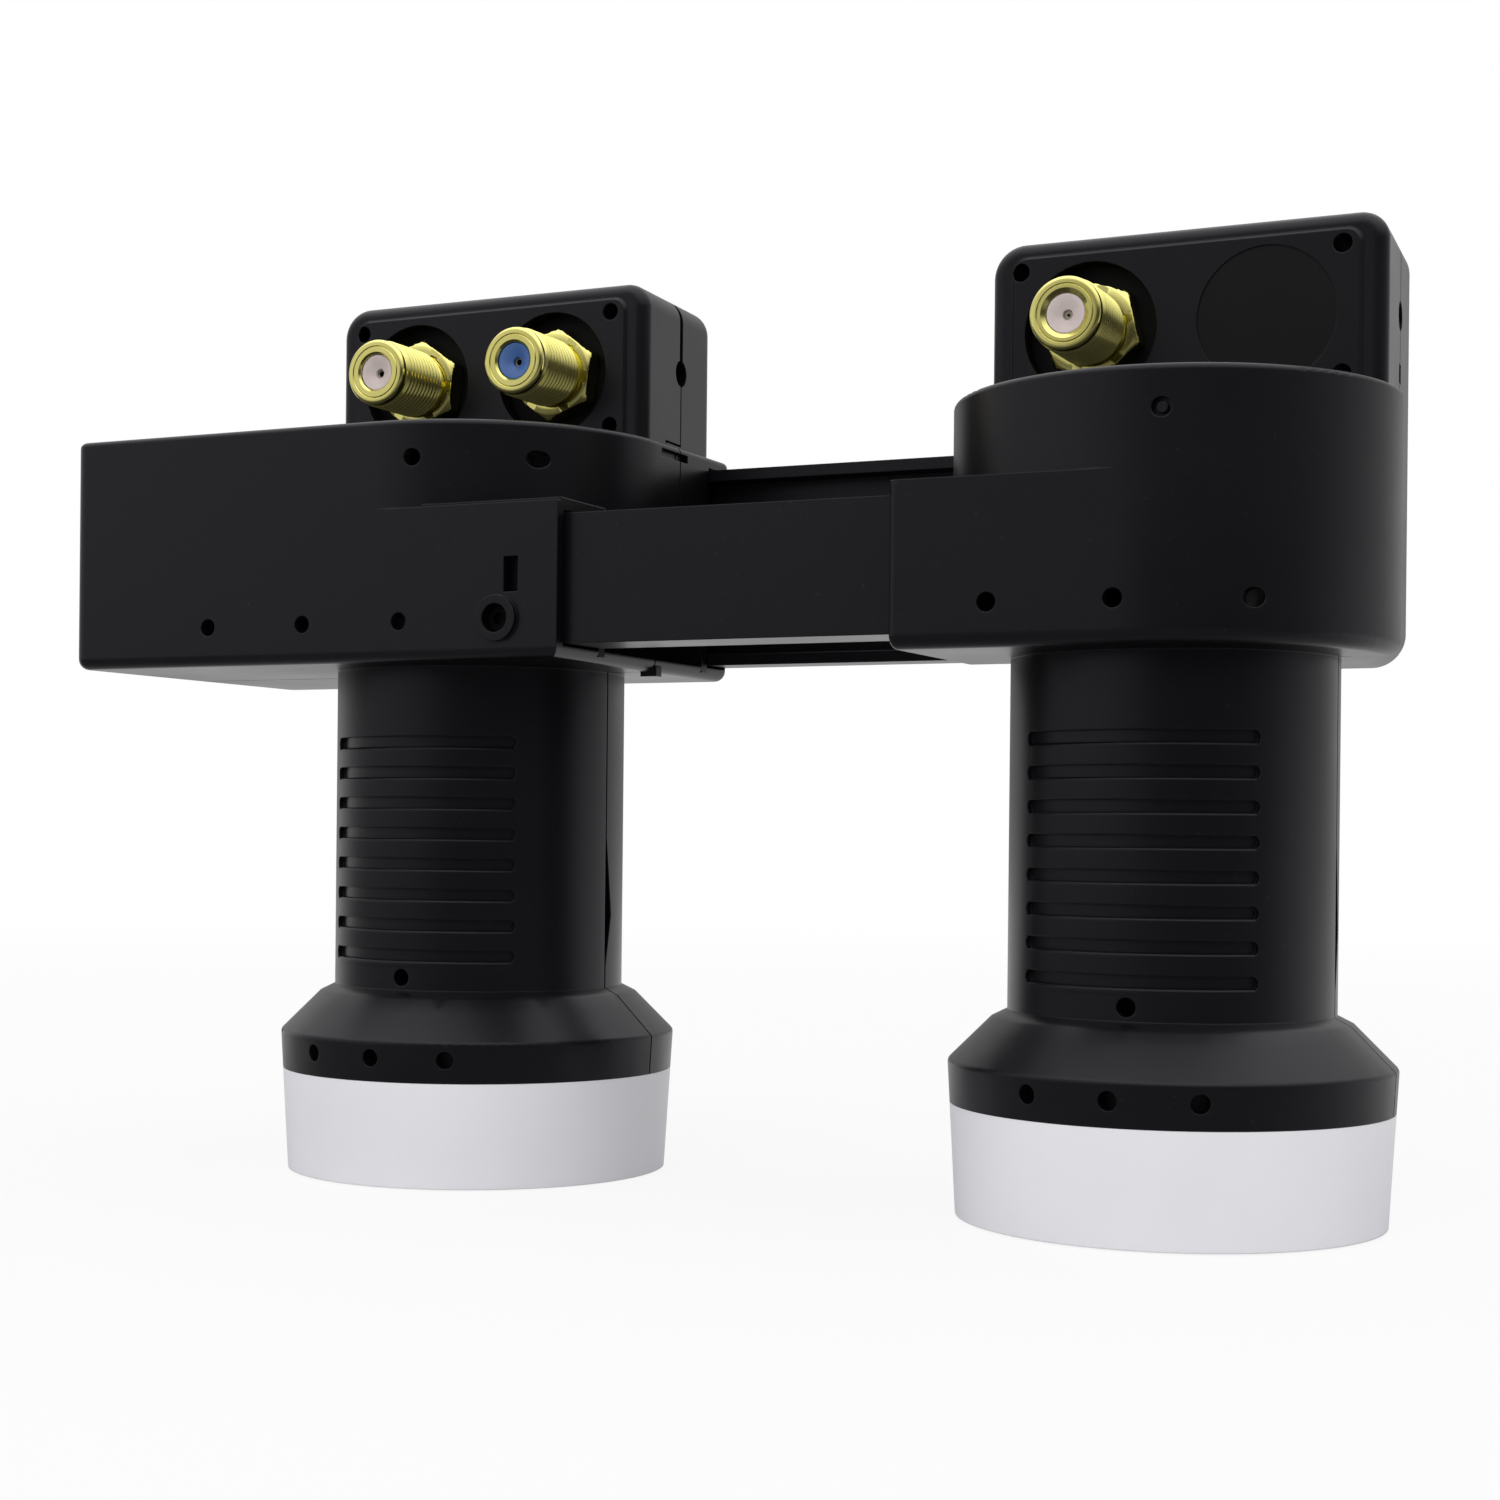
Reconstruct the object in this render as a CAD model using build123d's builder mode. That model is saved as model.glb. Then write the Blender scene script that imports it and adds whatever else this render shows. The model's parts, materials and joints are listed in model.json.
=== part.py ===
"""Twin satellite LNB: two feed units on a telescoping bridge.

The frame stands on the two flat feed caps: +Z is up, +X runs along the bridge from the left unit to the
right one, and the outlets face -Y. Each unit is drawn about its own feed axis, so a plan is given as
(x, y) from that axis and a height is given from the caps' lower faces.
"""

import os
from math import cos, radians, sin

from build123d import *

os.makedirs("parts", exist_ok=True)

# Driving dimensions in millimetres, angles in degrees
feed_spacing = 99.0
slide_clearance = 0.3
seat_clearance = 0.1
fit_clearance = 0.05
seam_gap = 0.3
seam_bow = 1.6
seam_bow_rise = (3.0, 10.0, 20.5)

# Neck, grooves and collar
neck_diameter = 40.0
neck_wall = 2.0
neck_length = 43.2
groove_count = 8
groove_pitch = 4.07
groove_height = 1.75
groove_depth = 0.7
groove_half_angle = 42.0
groove_start = 4.55
collar_diameter = 54.6
collar_band = 5.2
collar_cone = 5.3
collar_lip = 1.0
collar_edge = 0.8
collar_wall = 3.6
vent_diameter = 2.3
collar_vent_depth = 3.0
collar_vent_angle = 22.0
collar_vent_drop = 2.1
neck_vent_rise = 1.7

# Feed cap and its seal
cap_height = 13.8
cap_draft = 1.1
cap_wall = 1.6
cap_side_wall = 2.0
cap_shoulder = 2.0
spigot_length = 3.4
spigot_wall = 1.5
seal_width = 1.0
seal_groove_depth = 0.75

# Housings
shell_wall = 1.6
housing_height = 31.5
channel_height = 19.9
channel_roof = 1.2
sleeve_reach = 49.8
rear_reach = 23.8
sleeve_corner = 2.2
sleeve_edge = 0.8
sleeve_foot_edge = 1.5
drum_foot_edge = 1.8
channel_end_edge = 1.0
housing_parting = 7.0

# Connector box on each housing
box_parting = 12.0
box_parting_rise = 1.0
box_inset = 3.1
box_height = 21.8
box_flare = 1.2
box_corner = 4.2
box_right_corner = 3.4
box_front_edge = 1.7
box_rear_edge = 3.2
panel_border = 2.9
panel_top_border = 1.9
panel_height = 0.45
panel_corner = 2.0
panel_taper = 40.0
seam_port_diameter = 3.7
seam_port_rise = 11.2
seam_groove_width = 1.0
seam_groove_depth = 0.8
seam_slot_width = 1.6
seam_slot_height = 2.4
seam_slot_rise = 2.9

# Outlets: threaded coaxial sockets with a hexagonal foot
outlet_inset = 13.2
outlet_height = 10.0
outlet_recess_diameter = 17.0
outlet_recess_depth = 2.5
outlet_recess_floor = 1.4
blank_depth = 0.15
outlet_diameter = 9.5
outlet_reach = 11.1
outlet_chamfer = 0.7
hex_flats = 11.3
hex_turn = {"left_outlet_a": 25.0, "left_outlet_b": 23.0, "right_outlet": 43.0}
hex_thickness = 3.0
outlet_tail_diameter = 7.9
outlet_tail_length = 4.4
insulator_diameter = 4.9
insulator_setback = 0.6
contact_diameter = 1.1
contact_setback = 1.5

# Vent rows, snap notch and lock on the housings
row_rise = 5.2
row_pitch = 15.0
row_left_offsets = (-26.6, -11.3, 3.8)
row_right_offsets = (-row_pitch, 0.0, row_pitch)
upper_vent_drop = 5.0
upper_vent_offset = 5.3
upper_vent_inset = 7.7
plug_recess = 1.0
plug_diameter = 1.3
plug_height = 0.65
notch_start = 1.3
notch_width = 8.0
notch_height = 1.1
notch_drop = 0.9
notch_depth = 0.8
tab_length = 2.4
tab_width = 1.6
tab_height = 0.6
lock_inset = 8.7
lock_ring_diameter = 5.9
lock_ring_height = 0.7
lock_hole_diameter = 3.7
lock_slot_inset = 6.7
lock_slot_width = 2.1
lock_slot_height = 4.5
lock_slot_rise = 8.5
lock_screw_clearance = 0.15
lock_screw_sink = 0.5
lock_socket_flats = 1.5
lock_socket_depth = 0.8

# Slide rails of the bridge
front_rail_depth = 9.0
rear_rail_depth = 5.6
rail_web = 1.8
rail_flange = 1.6
rail_left_reach = 29.4
rail_right_seat = 11.0
guide_wall = 1.6

# Cast body, board, shield and screws
waveguide_bore = 19.0
waveguide_wall = 2.5
waveguide_lift = 4.0
back_short = 5.0
horn_plate = 1.7
horn_rings = ((6.5, 6.0), (1.7, 8.0))
horn_ring_wall = 1.4
centring_band = 3.0
chassis_inset = 7.2
chassis_wall = 1.6
chassis_front_wall = 2.8
chassis_seat = 1.2
riser_width = 22.0
riser_rear = 14.0
riser_height = 10.0
board_thickness = 1.2
board_setback = 2.5
shield_thickness = 0.8
screw_boss_diameter = 5.2
screw_shank_diameter = 2.1
screw_head_diameter = 4.2
screw_head_height = 1.6
screw_head_sink = 0.6
screw_inset = 4.1
screw_top_inset = 3.9
screw_low_rise = 2.3
screw_tip_setback = 8.0
drive_slot_width = 0.6
drive_slot_depth = 0.7

# Heights and places that follow from the driving dimensions
neck_radius = neck_diameter / 2
neck_bore = neck_radius - neck_wall
collar_radius = collar_diameter / 2
band_top = cap_height + collar_band
cap_foot_radius = collar_radius - cap_draft
cap_radius = cap_foot_radius + (collar_radius - cap_foot_radius) * cap_height / band_top
pocket_radius = cap_radius - collar_wall
drum_radius = collar_radius
cone_top = band_top + collar_cone
cone_top_radius = collar_radius - collar_cone
neck_bottom = cone_top + collar_lip
housing_bottom = neck_bottom + neck_length
ledge_z = housing_bottom + channel_height
deck_z = housing_bottom + housing_height
box_top = deck_z + box_height
floor_z = housing_bottom + shell_wall
roof_z = ledge_z - channel_roof
ceiling_z = deck_z - shell_wall
outlet_z = deck_z + outlet_height
port_z = deck_z + seam_port_rise
box_step_z = deck_z + box_parting_rise
box_half = drum_radius - box_inset
outlet_offset = box_half - outlet_inset
overall_length = sleeve_reach + feed_spacing + drum_radius
left_x = sleeve_reach - overall_length / 2
right_x = left_x + feed_spacing
axis_y = (drum_radius + lock_ring_height - max(rear_reach, collar_radius)) / 2
far = 2 * overall_length
reach = 2 * drum_radius
outlet_offsets = {"left": (-outlet_offset, outlet_offset), "right": (-outlet_offset,)}
upper_vents_left = (upper_vent_offset, drum_radius - upper_vent_inset)
upper_vents_right = (upper_vent_offset,)
lock_offset = drum_radius - lock_inset
lock_slot_offset = drum_radius - lock_slot_inset
unit_x = {"left": left_x, "right": right_x}
screw_places = [
    (sign * (box_half - screw_inset), z)
    for sign in (-1, 1)
    for z in (deck_z + screw_low_rise, box_top - screw_top_inset)
]

# Tunnels that the rails run in: (lowest, highest) in y and z
front_wall_y = shell_wall - drum_radius
rear_wall_y = rear_reach - shell_wall
front_tunnel_y = (front_wall_y, front_wall_y + front_rail_depth + 2 * slide_clearance)
front_tunnel_z = (floor_z, roof_z)
rear_tunnel_y = (rear_wall_y - rear_rail_depth - 2 * slide_clearance, rear_wall_y)
rear_tunnel_z = (floor_z, ceiling_z)


def level(x, z):
    """Horizontal plane at height z, centred on the feed axis at x."""
    return Plane(origin=(x, axis_y, z))


def facing_front(x, y):
    """Upright plane y behind the feed axis; its second axis is the height, and it faces the front."""
    return Plane(origin=(x, axis_y + y, 0), x_dir=(1, 0, 0), z_dir=(0, -1, 0))


def facing_side(x):
    """Upright plane across the bridge at x; its first axis is y from the feed axes."""
    return Plane(origin=(x, axis_y, 0), x_dir=(0, 1, 0), z_dir=(1, 0, 0))


def radial(x, angle):
    """Upright plane through the feed axis that faces outwards at this angle from the front."""
    turn = radians(angle)
    return Plane(
        origin=(x, axis_y, 0),
        x_dir=(cos(turn), sin(turn), 0),
        z_dir=(sin(turn), -cos(turn), 0),
    )


def limits(first, second):
    """Rectangle between the given limits of the two sketch axes."""
    with Locations(((first[0] + first[1]) / 2, (second[0] + second[1]) / 2)):
        Rectangle(first[1] - first[0], second[1] - second[0])


def outline(*points):
    """Closed face through the given points."""
    with BuildLine() as border:
        Polyline(*points, close=True)
    make_face(border.edges())


def block(plane, first, second, length, mode=Mode.ADD):
    """Block on a plane between the given limits, extruded by length along the plane's normal."""
    with BuildSketch(plane) as shape:
        limits(first, second)
    extrude(shape.sketch, amount=length, mode=mode)


def feed_axis(x):
    return Axis((x, axis_y, 0), (0, 0, 1))


def sleeve_plan(inset, rounded):
    """Plan of the left housing, drawn in by inset; rounded carries the drum round its front right corner."""
    left, right = inset - sleeve_reach, drum_radius - inset
    front, rear = inset - drum_radius, rear_reach - inset
    with BuildLine() as border:
        if rounded:
            Polyline((0, front), (left, front), (left, rear), (right, rear), (right, 0))
            CenterArc((0, 0), right, -90, 90)
        else:
            Polyline((right, front), (left, front), (left, rear), (right, rear), close=True)
    make_face(border.edges())
    corners = [v for v in vertices() if v.Y > rear - fit_clearance or v.X < left + fit_clearance]
    fillet(corners, max(sleeve_corner - inset, fit_clearance))


def half_drum_plan(radius):
    """Front half of the right housing's drum."""
    with BuildLine() as border:
        CenterArc((0, 0), radius, 180, 180)
        Line((-radius, 0), (radius, 0))
    make_face(border.edges())


def hollow_plan(front):
    """Plan of the hollow in a connector box and the housing's rear, from this far behind the feed axis."""
    half = box_half - shell_wall
    limits((-half, half), (front, rear_wall_y))
    fillet(vertices().group_by(Axis.Y)[-1], box_rear_edge - shell_wall)


def add_box(x, box):
    """Connector box on its housing, with its front edges rounded above the deck and its raised panel."""
    add(box)
    front_edges = [
        e for e in edges()
        if abs(e.center().Y - axis_y) < fit_clearance and e.center().Z > deck_z + box_front_edge
    ]
    fillet(front_edges, box_front_edge)
    panel_x = box_half - panel_border
    with BuildSketch(facing_front(x, 0)) as shape:
        limits((-panel_x, panel_x + box_flare), (ceiling_z, box_top - panel_top_border))
        fillet(vertices().group_by(Axis.Y)[-1], panel_corner)
    extrude(shape.sketch, amount=panel_height, taper=panel_taper)


def add_neck(x):
    """Solid neck and flared collar, up to the housing's floor."""
    with BuildSketch(facing_front(x, 0)) as shape:
        outline(
            (0, cap_height),
            (cap_radius, cap_height),
            (collar_radius, band_top),
            (cone_top_radius, cone_top),
            (neck_radius, neck_bottom),
            (neck_radius, floor_z),
            (0, floor_z),
        )
        rim = vertices().sort_by_distance((collar_radius, band_top))[0]
        fillet(rim, collar_edge)
    revolve(shape.sketch, axis=feed_axis(x))


def add_neck_void(x):
    """Bore of the neck, with the pocket for the cap and the seat for the horn."""
    seat_z = band_top + seat_clearance
    bore_z = seat_z + collar_cone - collar_lip
    with BuildSketch(facing_front(x, 0)) as shape:
        outline(
            (0, cap_height - collar_band),
            (pocket_radius, cap_height - collar_band),
            (pocket_radius, seat_z),
            (neck_bore + bore_z - seat_z, seat_z),
            (neck_bore, bore_z),
            (neck_bore, floor_z + shell_wall),
            (0, floor_z + shell_wall),
        )
    revolve(shape.sketch, axis=feed_axis(x))


def add_box_void(x):
    """Inside of a connector box, and the way down through the deck for the cast body's riser."""
    with BuildSketch(level(x, deck_z)) as shape:
        hollow_plan(shell_wall)
    extrude(shape.sketch, amount=box_height - shell_wall)
    half_way = riser_width / 2 + slide_clearance
    front_way = outlet_recess_depth + outlet_recess_floor
    block(
        level(x, ceiling_z - shell_wall),
        (-half_way, half_way),
        (front_way, riser_rear + slide_clearance),
        3 * shell_wall,
    )


def add_screw_posts(x):
    """Posts in the corners of a connector box that the shell screws run in."""
    with BuildSketch(facing_front(x, rear_reach - shell_wall / 2)) as shape:
        with Locations(*screw_places):
            Circle(screw_boss_diameter / 2)
    extrude(shape.sketch, amount=rear_reach - shell_wall)


def cut_screw_ways(x):
    """Screw holes right through the posts, with a sunk seat for each head at the rear."""
    with BuildSketch(facing_front(x, rear_reach + shell_wall)) as shape:
        with Locations(*screw_places):
            Circle(vent_diameter / 2)
    extrude(shape.sketch, amount=rear_reach + 2 * shell_wall, mode=Mode.SUBTRACT)
    with BuildSketch(facing_front(x, rear_reach + shell_wall)) as shape:
        with Locations(*screw_places):
            Circle(screw_head_diameter / 2 + slide_clearance)
    extrude(shape.sketch, amount=shell_wall + screw_head_sink + screw_head_height, mode=Mode.SUBTRACT)


def cut_seam_port(x):
    """Round port on the seam in the side of a connector box, half in each shell."""
    with BuildSketch(facing_side(x + box_half - 2 * shell_wall)) as shape:
        with Locations((box_parting, port_z)):
            Circle(seam_port_diameter / 2)
    extrude(shape.sketch, amount=3 * shell_wall + box_flare, mode=Mode.SUBTRACT)


def cut_seam_groove():
    """Open seam above the port of the left connector box."""
    block(
        facing_side(left_x + box_half - seam_groove_depth),
        (box_parting - seam_groove_width / 2, box_parting + seam_groove_width / 2),
        (port_z, box_top + seam_groove_depth),
        2 * seam_groove_depth + box_flare,
        mode=Mode.SUBTRACT,
    )


def cut_drain_slot():
    """Drain slot on the seam of the right connector box, below its port."""
    block(
        facing_side(right_x + box_half - 2 * shell_wall),
        (box_parting - seam_slot_width / 2, box_parting + seam_slot_width / 2),
        (deck_z + seam_slot_rise, deck_z + seam_slot_rise + seam_slot_height),
        3 * shell_wall + box_flare,
        mode=Mode.SUBTRACT,
    )


def cut_snap_notch():
    """Snap notch under the rim of the left housing, across the seam."""
    block(
        facing_side(left_x + drum_radius - notch_depth),
        (notch_start, notch_start + notch_width),
        (deck_z - notch_drop - notch_height, deck_z - notch_drop),
        shell_wall,
        mode=Mode.SUBTRACT,
    )


def cut_plugged_vent():
    """Vent of the right drum that is filled by a pin, which stands a little below the surface."""
    offset = upper_vents_right[0]
    skin_y = (drum_radius ** 2 - offset ** 2) ** 0.5
    place = (offset, deck_z - upper_vent_drop)
    with BuildSketch(facing_front(right_x, plug_recess - skin_y)) as shape:
        with Locations(place):
            Circle(vent_diameter / 2)
            Circle(plug_diameter / 2, mode=Mode.SUBTRACT)
    extrude(shape.sketch, amount=2 * plug_recess, mode=Mode.SUBTRACT)
    with BuildSketch(facing_front(right_x, plug_recess - plug_height - skin_y)) as shape:
        with Locations(place):
            Circle((vent_diameter + plug_diameter) / 4)
    extrude(shape.sketch, amount=2 * plug_recess, mode=Mode.SUBTRACT)


def cut_vents(x, z, offsets):
    """Row of round vents through the front wall, drawn straight from the front."""
    with BuildSketch(facing_front(x, -drum_radius / 2)) as shape:
        with Locations(*[(offset, z) for offset in offsets]):
            Circle(vent_diameter / 2)
    extrude(shape.sketch, amount=drum_radius, mode=Mode.SUBTRACT)


def cut_grooves(x):
    """Grip grooves round the front of the neck, each with rounded ends, and the vent below them."""
    heights = [neck_bottom + groove_start + i * groove_pitch for i in range(groove_count)]
    groove_floor = neck_radius - groove_depth
    with BuildSketch(Plane(
        origin=(x, axis_y, 0),
        x_dir=radial(x, -groove_half_angle).z_dir,
        z_dir=-radial(x, -groove_half_angle).x_dir,
    )) as shape:
        for z in heights:
            limits((groove_floor, neck_radius + groove_depth), (z - groove_height / 2, z + groove_height / 2))
    revolve(shape.sketch, axis=feed_axis(x), revolution_arc=2 * groove_half_angle, mode=Mode.SUBTRACT)
    for angle in (-groove_half_angle, groove_half_angle):
        with BuildSketch(radial(x, angle).offset(groove_floor)) as shape:
            with Locations(*[(0, z) for z in heights]):
                Circle(groove_height / 2)
        extrude(shape.sketch, amount=2 * groove_depth, mode=Mode.SUBTRACT)
    with BuildSketch(radial(x, 0).offset(neck_radius - 2 * neck_wall)) as shape:
        with Locations((0, neck_bottom + neck_vent_rise)):
            Circle(vent_diameter / 2)
    extrude(shape.sketch, amount=3 * neck_wall, mode=Mode.SUBTRACT)


def cut_collar_vents(x):
    """Three blind vents in the front of the collar's band."""
    for angle in (-collar_vent_angle, 0, collar_vent_angle):
        with BuildSketch(radial(x, angle).offset(cap_radius - collar_vent_depth)) as shape:
            with Locations((0, band_top - collar_vent_drop)):
                Circle(vent_diameter / 2)
        extrude(shape.sketch, amount=2 * collar_vent_depth, mode=Mode.SUBTRACT)


def cut_box_front(x, outlets, blanks):
    """Cup for each outlet in the front of a connector box, and a shallow disc for each blank."""
    with BuildSketch(facing_front(x, outlet_recess_depth)) as shape:
        with Locations(*[(offset, outlet_z) for offset in outlets]):
            Circle(outlet_recess_diameter / 2)
    extrude(shape.sketch, amount=outlet_recess_depth + shell_wall, mode=Mode.SUBTRACT)
    with BuildSketch(facing_front(x, 2 * outlet_recess_depth)) as shape:
        with Locations(*[(offset, outlet_z) for offset in outlets]):
            Circle(outlet_tail_diameter / 2 + slide_clearance)
    extrude(shape.sketch, amount=2 * outlet_recess_depth, mode=Mode.SUBTRACT)
    if blanks:
        with BuildSketch(facing_front(x, blank_depth - panel_height)) as shape:
            with Locations(*[(offset, outlet_z) for offset in blanks]):
                Circle(outlet_recess_diameter / 2)
        extrude(shape.sketch, amount=shell_wall, mode=Mode.SUBTRACT)


def add_outlet_cups(x, offsets):
    """Backs of the outlet recesses, behind the front wall of a connector box."""
    with BuildSketch(facing_front(x, outlet_recess_depth + outlet_recess_floor)) as shape:
        with Locations(*[(offset, outlet_z) for offset in offsets]):
            Circle(outlet_recess_diameter / 2 + outlet_recess_floor)
    extrude(shape.sketch, amount=outlet_recess_depth + outlet_recess_floor)


def write(part, label):
    """Name a finished piece and write it."""
    part.label = label
    export_step(part, f"parts/{label}.step")


# Regions on each side of the stepped parting line of the shells
half_seam = seam_gap / 2
with BuildPart() as front_region:
    with BuildSketch(facing_side(0)):
        outline(
            (-far, -far),
            (-half_seam, -far),
            (-half_seam, ledge_z + half_seam),
            (housing_parting - half_seam, ledge_z + half_seam),
            (housing_parting - half_seam, box_step_z + half_seam),
            (box_parting - half_seam, box_step_z + half_seam),
            (box_parting - half_seam, far),
            (-far, far),
        )
    extrude(amount=far, both=True)

with BuildPart() as rear_region:
    with BuildSketch(facing_side(0)):
        outline(
            (half_seam, -far),
            (far, -far),
            (far, far),
            (box_parting + half_seam, far),
            (box_parting + half_seam, box_step_z - half_seam),
            (housing_parting + half_seam, box_step_z - half_seam),
            (housing_parting + half_seam, ledge_z - half_seam),
            (half_seam, ledge_z - half_seam),
            (half_seam, neck_bottom + seam_bow_rise[2]),
            (half_seam + seam_bow, neck_bottom + seam_bow_rise[1]),
            (half_seam, neck_bottom + seam_bow_rise[0]),
        )
    extrude(amount=far, both=True)

# Connector boxes with their rear edges rounded; the right one runs down to make the rear of its housing
boxes = {}
for side, x, base in (("left", left_x, roof_z), ("right", right_x, housing_bottom)):
    with BuildPart() as box:
        with BuildSketch(level(x, base)):
            outline(
                (-box_half, 0),
                (box_half + box_flare, 0),
                (box_half, rear_reach),
                (-box_half, rear_reach),
            )
        extrude(amount=box_top - base)
        long_edges = edges().filter_by(lambda e: abs(e.center().X - x) > box_half / 2).filter_by(Axis.Z, reverse=True)
        right_top = long_edges.group_by(Axis.Z)[-1].sort_by(Axis.X)[-1]
        fillet([e for e in long_edges if e != right_top], box_corner)
        fillet(edges().group_by(Axis.Z)[-1].sort_by(Axis.X)[-1], box_right_corner)
        fillet(edges().group_by(Axis.Y)[-1], box_rear_edge)
    boxes[side] = box.part

# Left housing: outer form and hollow
with BuildPart() as left_outer:
    with BuildSketch(level(left_x, housing_bottom)):
        sleeve_plan(0, rounded=False)
    extrude(amount=channel_height)
    foot = edges().group_by(Axis.Z)[0].filter_by(lambda e: e.center().X < left_x + drum_radius - sleeve_corner)
    fillet(foot, sleeve_foot_edge)
    with BuildSketch(level(left_x, ledge_z - shell_wall)):
        sleeve_plan(0, rounded=True)
    extrude(amount=deck_z - ledge_z + shell_wall)
    fillet(edges().group_by(Axis.Z)[-1], sleeve_edge)
    add_box(left_x, boxes["left"])
    add_neck(left_x)

with BuildPart() as left_void:
    block(
        level(left_x, floor_z),
        (shell_wall - sleeve_reach, drum_radius + shell_wall),
        (shell_wall - drum_radius, rear_reach - shell_wall),
        roof_z - floor_z,
    )
    with BuildSketch(level(left_x, roof_z - shell_wall)):
        sleeve_plan(shell_wall, rounded=True)
    extrude(amount=ceiling_z - roof_z + shell_wall)
    block(
        level(left_x, floor_z),
        (0, drum_radius + shell_wall),
        rear_tunnel_y,
        rear_tunnel_z[1] - floor_z,
    )
    add_box_void(left_x)
    add_neck_void(left_x)

with BuildPart() as left_front_shell:
    add(left_outer.part)
    add(left_void.part, mode=Mode.SUBTRACT)
    # Guide of the front rail: an inner wall and a roof, as long as the housing
    guide_x = left_x + shell_wall / 2 - sleeve_reach
    guide_length = left_x + drum_radius - guide_x
    guide_y = (front_tunnel_y[1], front_tunnel_y[1] + guide_wall)
    block(facing_side(guide_x), guide_y, (floor_z - shell_wall / 2, roof_z + guide_wall), guide_length)
    block(
        facing_side(guide_x),
        (front_tunnel_y[0] - shell_wall / 2, guide_y[1]),
        (roof_z, roof_z + guide_wall),
        guide_length,
    )
    add_screw_posts(left_x)
    add_outlet_cups(left_x, outlet_offsets["left"])
    # Lock: a raised ring with a screw hole, and the sight slot above it
    lock_z = housing_bottom + row_rise
    with BuildSketch(facing_front(left_x, -drum_radius)):
        with Locations((lock_offset, lock_z)):
            Circle(lock_ring_diameter / 2)
    extrude(amount=lock_ring_height)
    with BuildSketch(facing_front(left_x, -drum_radius + shell_wall)):
        with Locations((lock_offset, lock_z)):
            Circle(lock_hole_diameter / 2)
        with Locations((lock_slot_offset, housing_bottom + lock_slot_rise + lock_slot_height / 2)):
            Rectangle(lock_slot_width, lock_slot_height)
    extrude(amount=2 * shell_wall, mode=Mode.SUBTRACT)
    cut_vents(left_x, housing_bottom + row_rise, row_left_offsets)
    cut_vents(left_x, deck_z - upper_vent_drop, upper_vents_left)
    cut_snap_notch()
    cut_grooves(left_x)
    cut_collar_vents(left_x)
    cut_box_front(left_x, outlet_offsets["left"], ())
    cut_screw_ways(left_x)
    cut_seam_port(left_x)
    cut_seam_groove()
    add(front_region.part, mode=Mode.INTERSECT)
write(left_front_shell.part, "left_front_shell")

with BuildPart() as left_rear_shell:
    add(left_outer.part)
    add(left_void.part, mode=Mode.SUBTRACT)
    # Guide of the rear rail: an inner wall as long as the housing
    block(
        facing_side(left_x + shell_wall / 2 - sleeve_reach),
        (rear_tunnel_y[0] - guide_wall, rear_tunnel_y[0]),
        (floor_z - shell_wall / 2, ceiling_z + shell_wall / 2),
        sleeve_reach + drum_radius - shell_wall / 2,
    )
    # Clip tab under the floor, beside the seam
    block(
        level(left_x, housing_bottom - tab_height),
        (drum_radius - tab_length, drum_radius),
        (seam_gap, seam_gap + tab_width),
        tab_height + shell_wall / 2,
    )
    add_screw_posts(left_x)
    cut_snap_notch()
    cut_screw_ways(left_x)
    cut_seam_port(left_x)
    cut_seam_groove()
    add(rear_region.part, mode=Mode.INTERSECT)
write(left_rear_shell.part, "left_rear_shell")

# Channel beside the right drum, with its foot rounded
with BuildPart() as channel:
    block(level(right_x, housing_bottom), (-drum_radius, 0), (-drum_radius, 0), channel_height)
    foot = edges().group_by(Axis.Z)[0]
    fillet(foot.sort_by(Axis.Y)[0], drum_foot_edge)
    foot = edges().group_by(Axis.Z)[0]
    fillet(foot.sort_by(Axis.X)[0], channel_end_edge)

# Right housing: outer form and hollow
with BuildPart() as right_outer:
    with BuildSketch(level(right_x, housing_bottom)):
        half_drum_plan(drum_radius)
    extrude(amount=housing_height)
    rims = edges().filter_by(GeomType.CIRCLE).group_by(Axis.Z)
    fillet(rims[0], drum_foot_edge)
    rims = edges().filter_by(GeomType.CIRCLE).group_by(Axis.Z)
    fillet(rims[-1], sleeve_edge)
    add(channel.part)
    add_box(right_x, boxes["right"])
    add_neck(right_x)

with BuildPart() as right_void:
    with BuildSketch(level(right_x, floor_z)):
        half_drum_plan(drum_radius - shell_wall)
    extrude(amount=ceiling_z - floor_z)
    with BuildSketch(level(right_x, floor_z)):
        hollow_plan(-shell_wall)
    extrude(amount=ceiling_z - floor_z)
    add_box_void(right_x)
    add_neck_void(right_x)

with BuildPart() as right_front_shell:
    add(right_outer.part)
    add(right_void.part, mode=Mode.SUBTRACT)
    # Socket that holds the end of the front rail: a closed box inside the channel, open to the left
    block(
        facing_side(right_x - drum_radius + shell_wall / 2),
        (front_wall_y - shell_wall / 2, front_tunnel_y[1] + guide_wall),
        (floor_z - shell_wall / 2, roof_z + shell_wall / 2),
        rail_right_seat + guide_wall - shell_wall / 2,
    )
    block(
        facing_side(right_x - drum_radius - shell_wall),
        (front_tunnel_y[0] + slide_clearance - seat_clearance, front_tunnel_y[1] - slide_clearance + seat_clearance),
        (front_tunnel_z[0] + slide_clearance - seat_clearance, front_tunnel_z[1] - slide_clearance + seat_clearance),
        rail_right_seat + shell_wall,
        mode=Mode.SUBTRACT,
    )
    add_screw_posts(right_x)
    add_outlet_cups(right_x, outlet_offsets["right"])
    cut_vents(right_x, housing_bottom + row_rise, row_right_offsets)
    cut_plugged_vent()
    cut_grooves(right_x)
    cut_collar_vents(right_x)
    cut_box_front(right_x, outlet_offsets["right"], (outlet_offset,))
    cut_screw_ways(right_x)
    cut_seam_port(right_x)
    cut_drain_slot()
    add(front_region.part, mode=Mode.INTERSECT)
write(right_front_shell.part, "right_front_shell")

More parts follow.
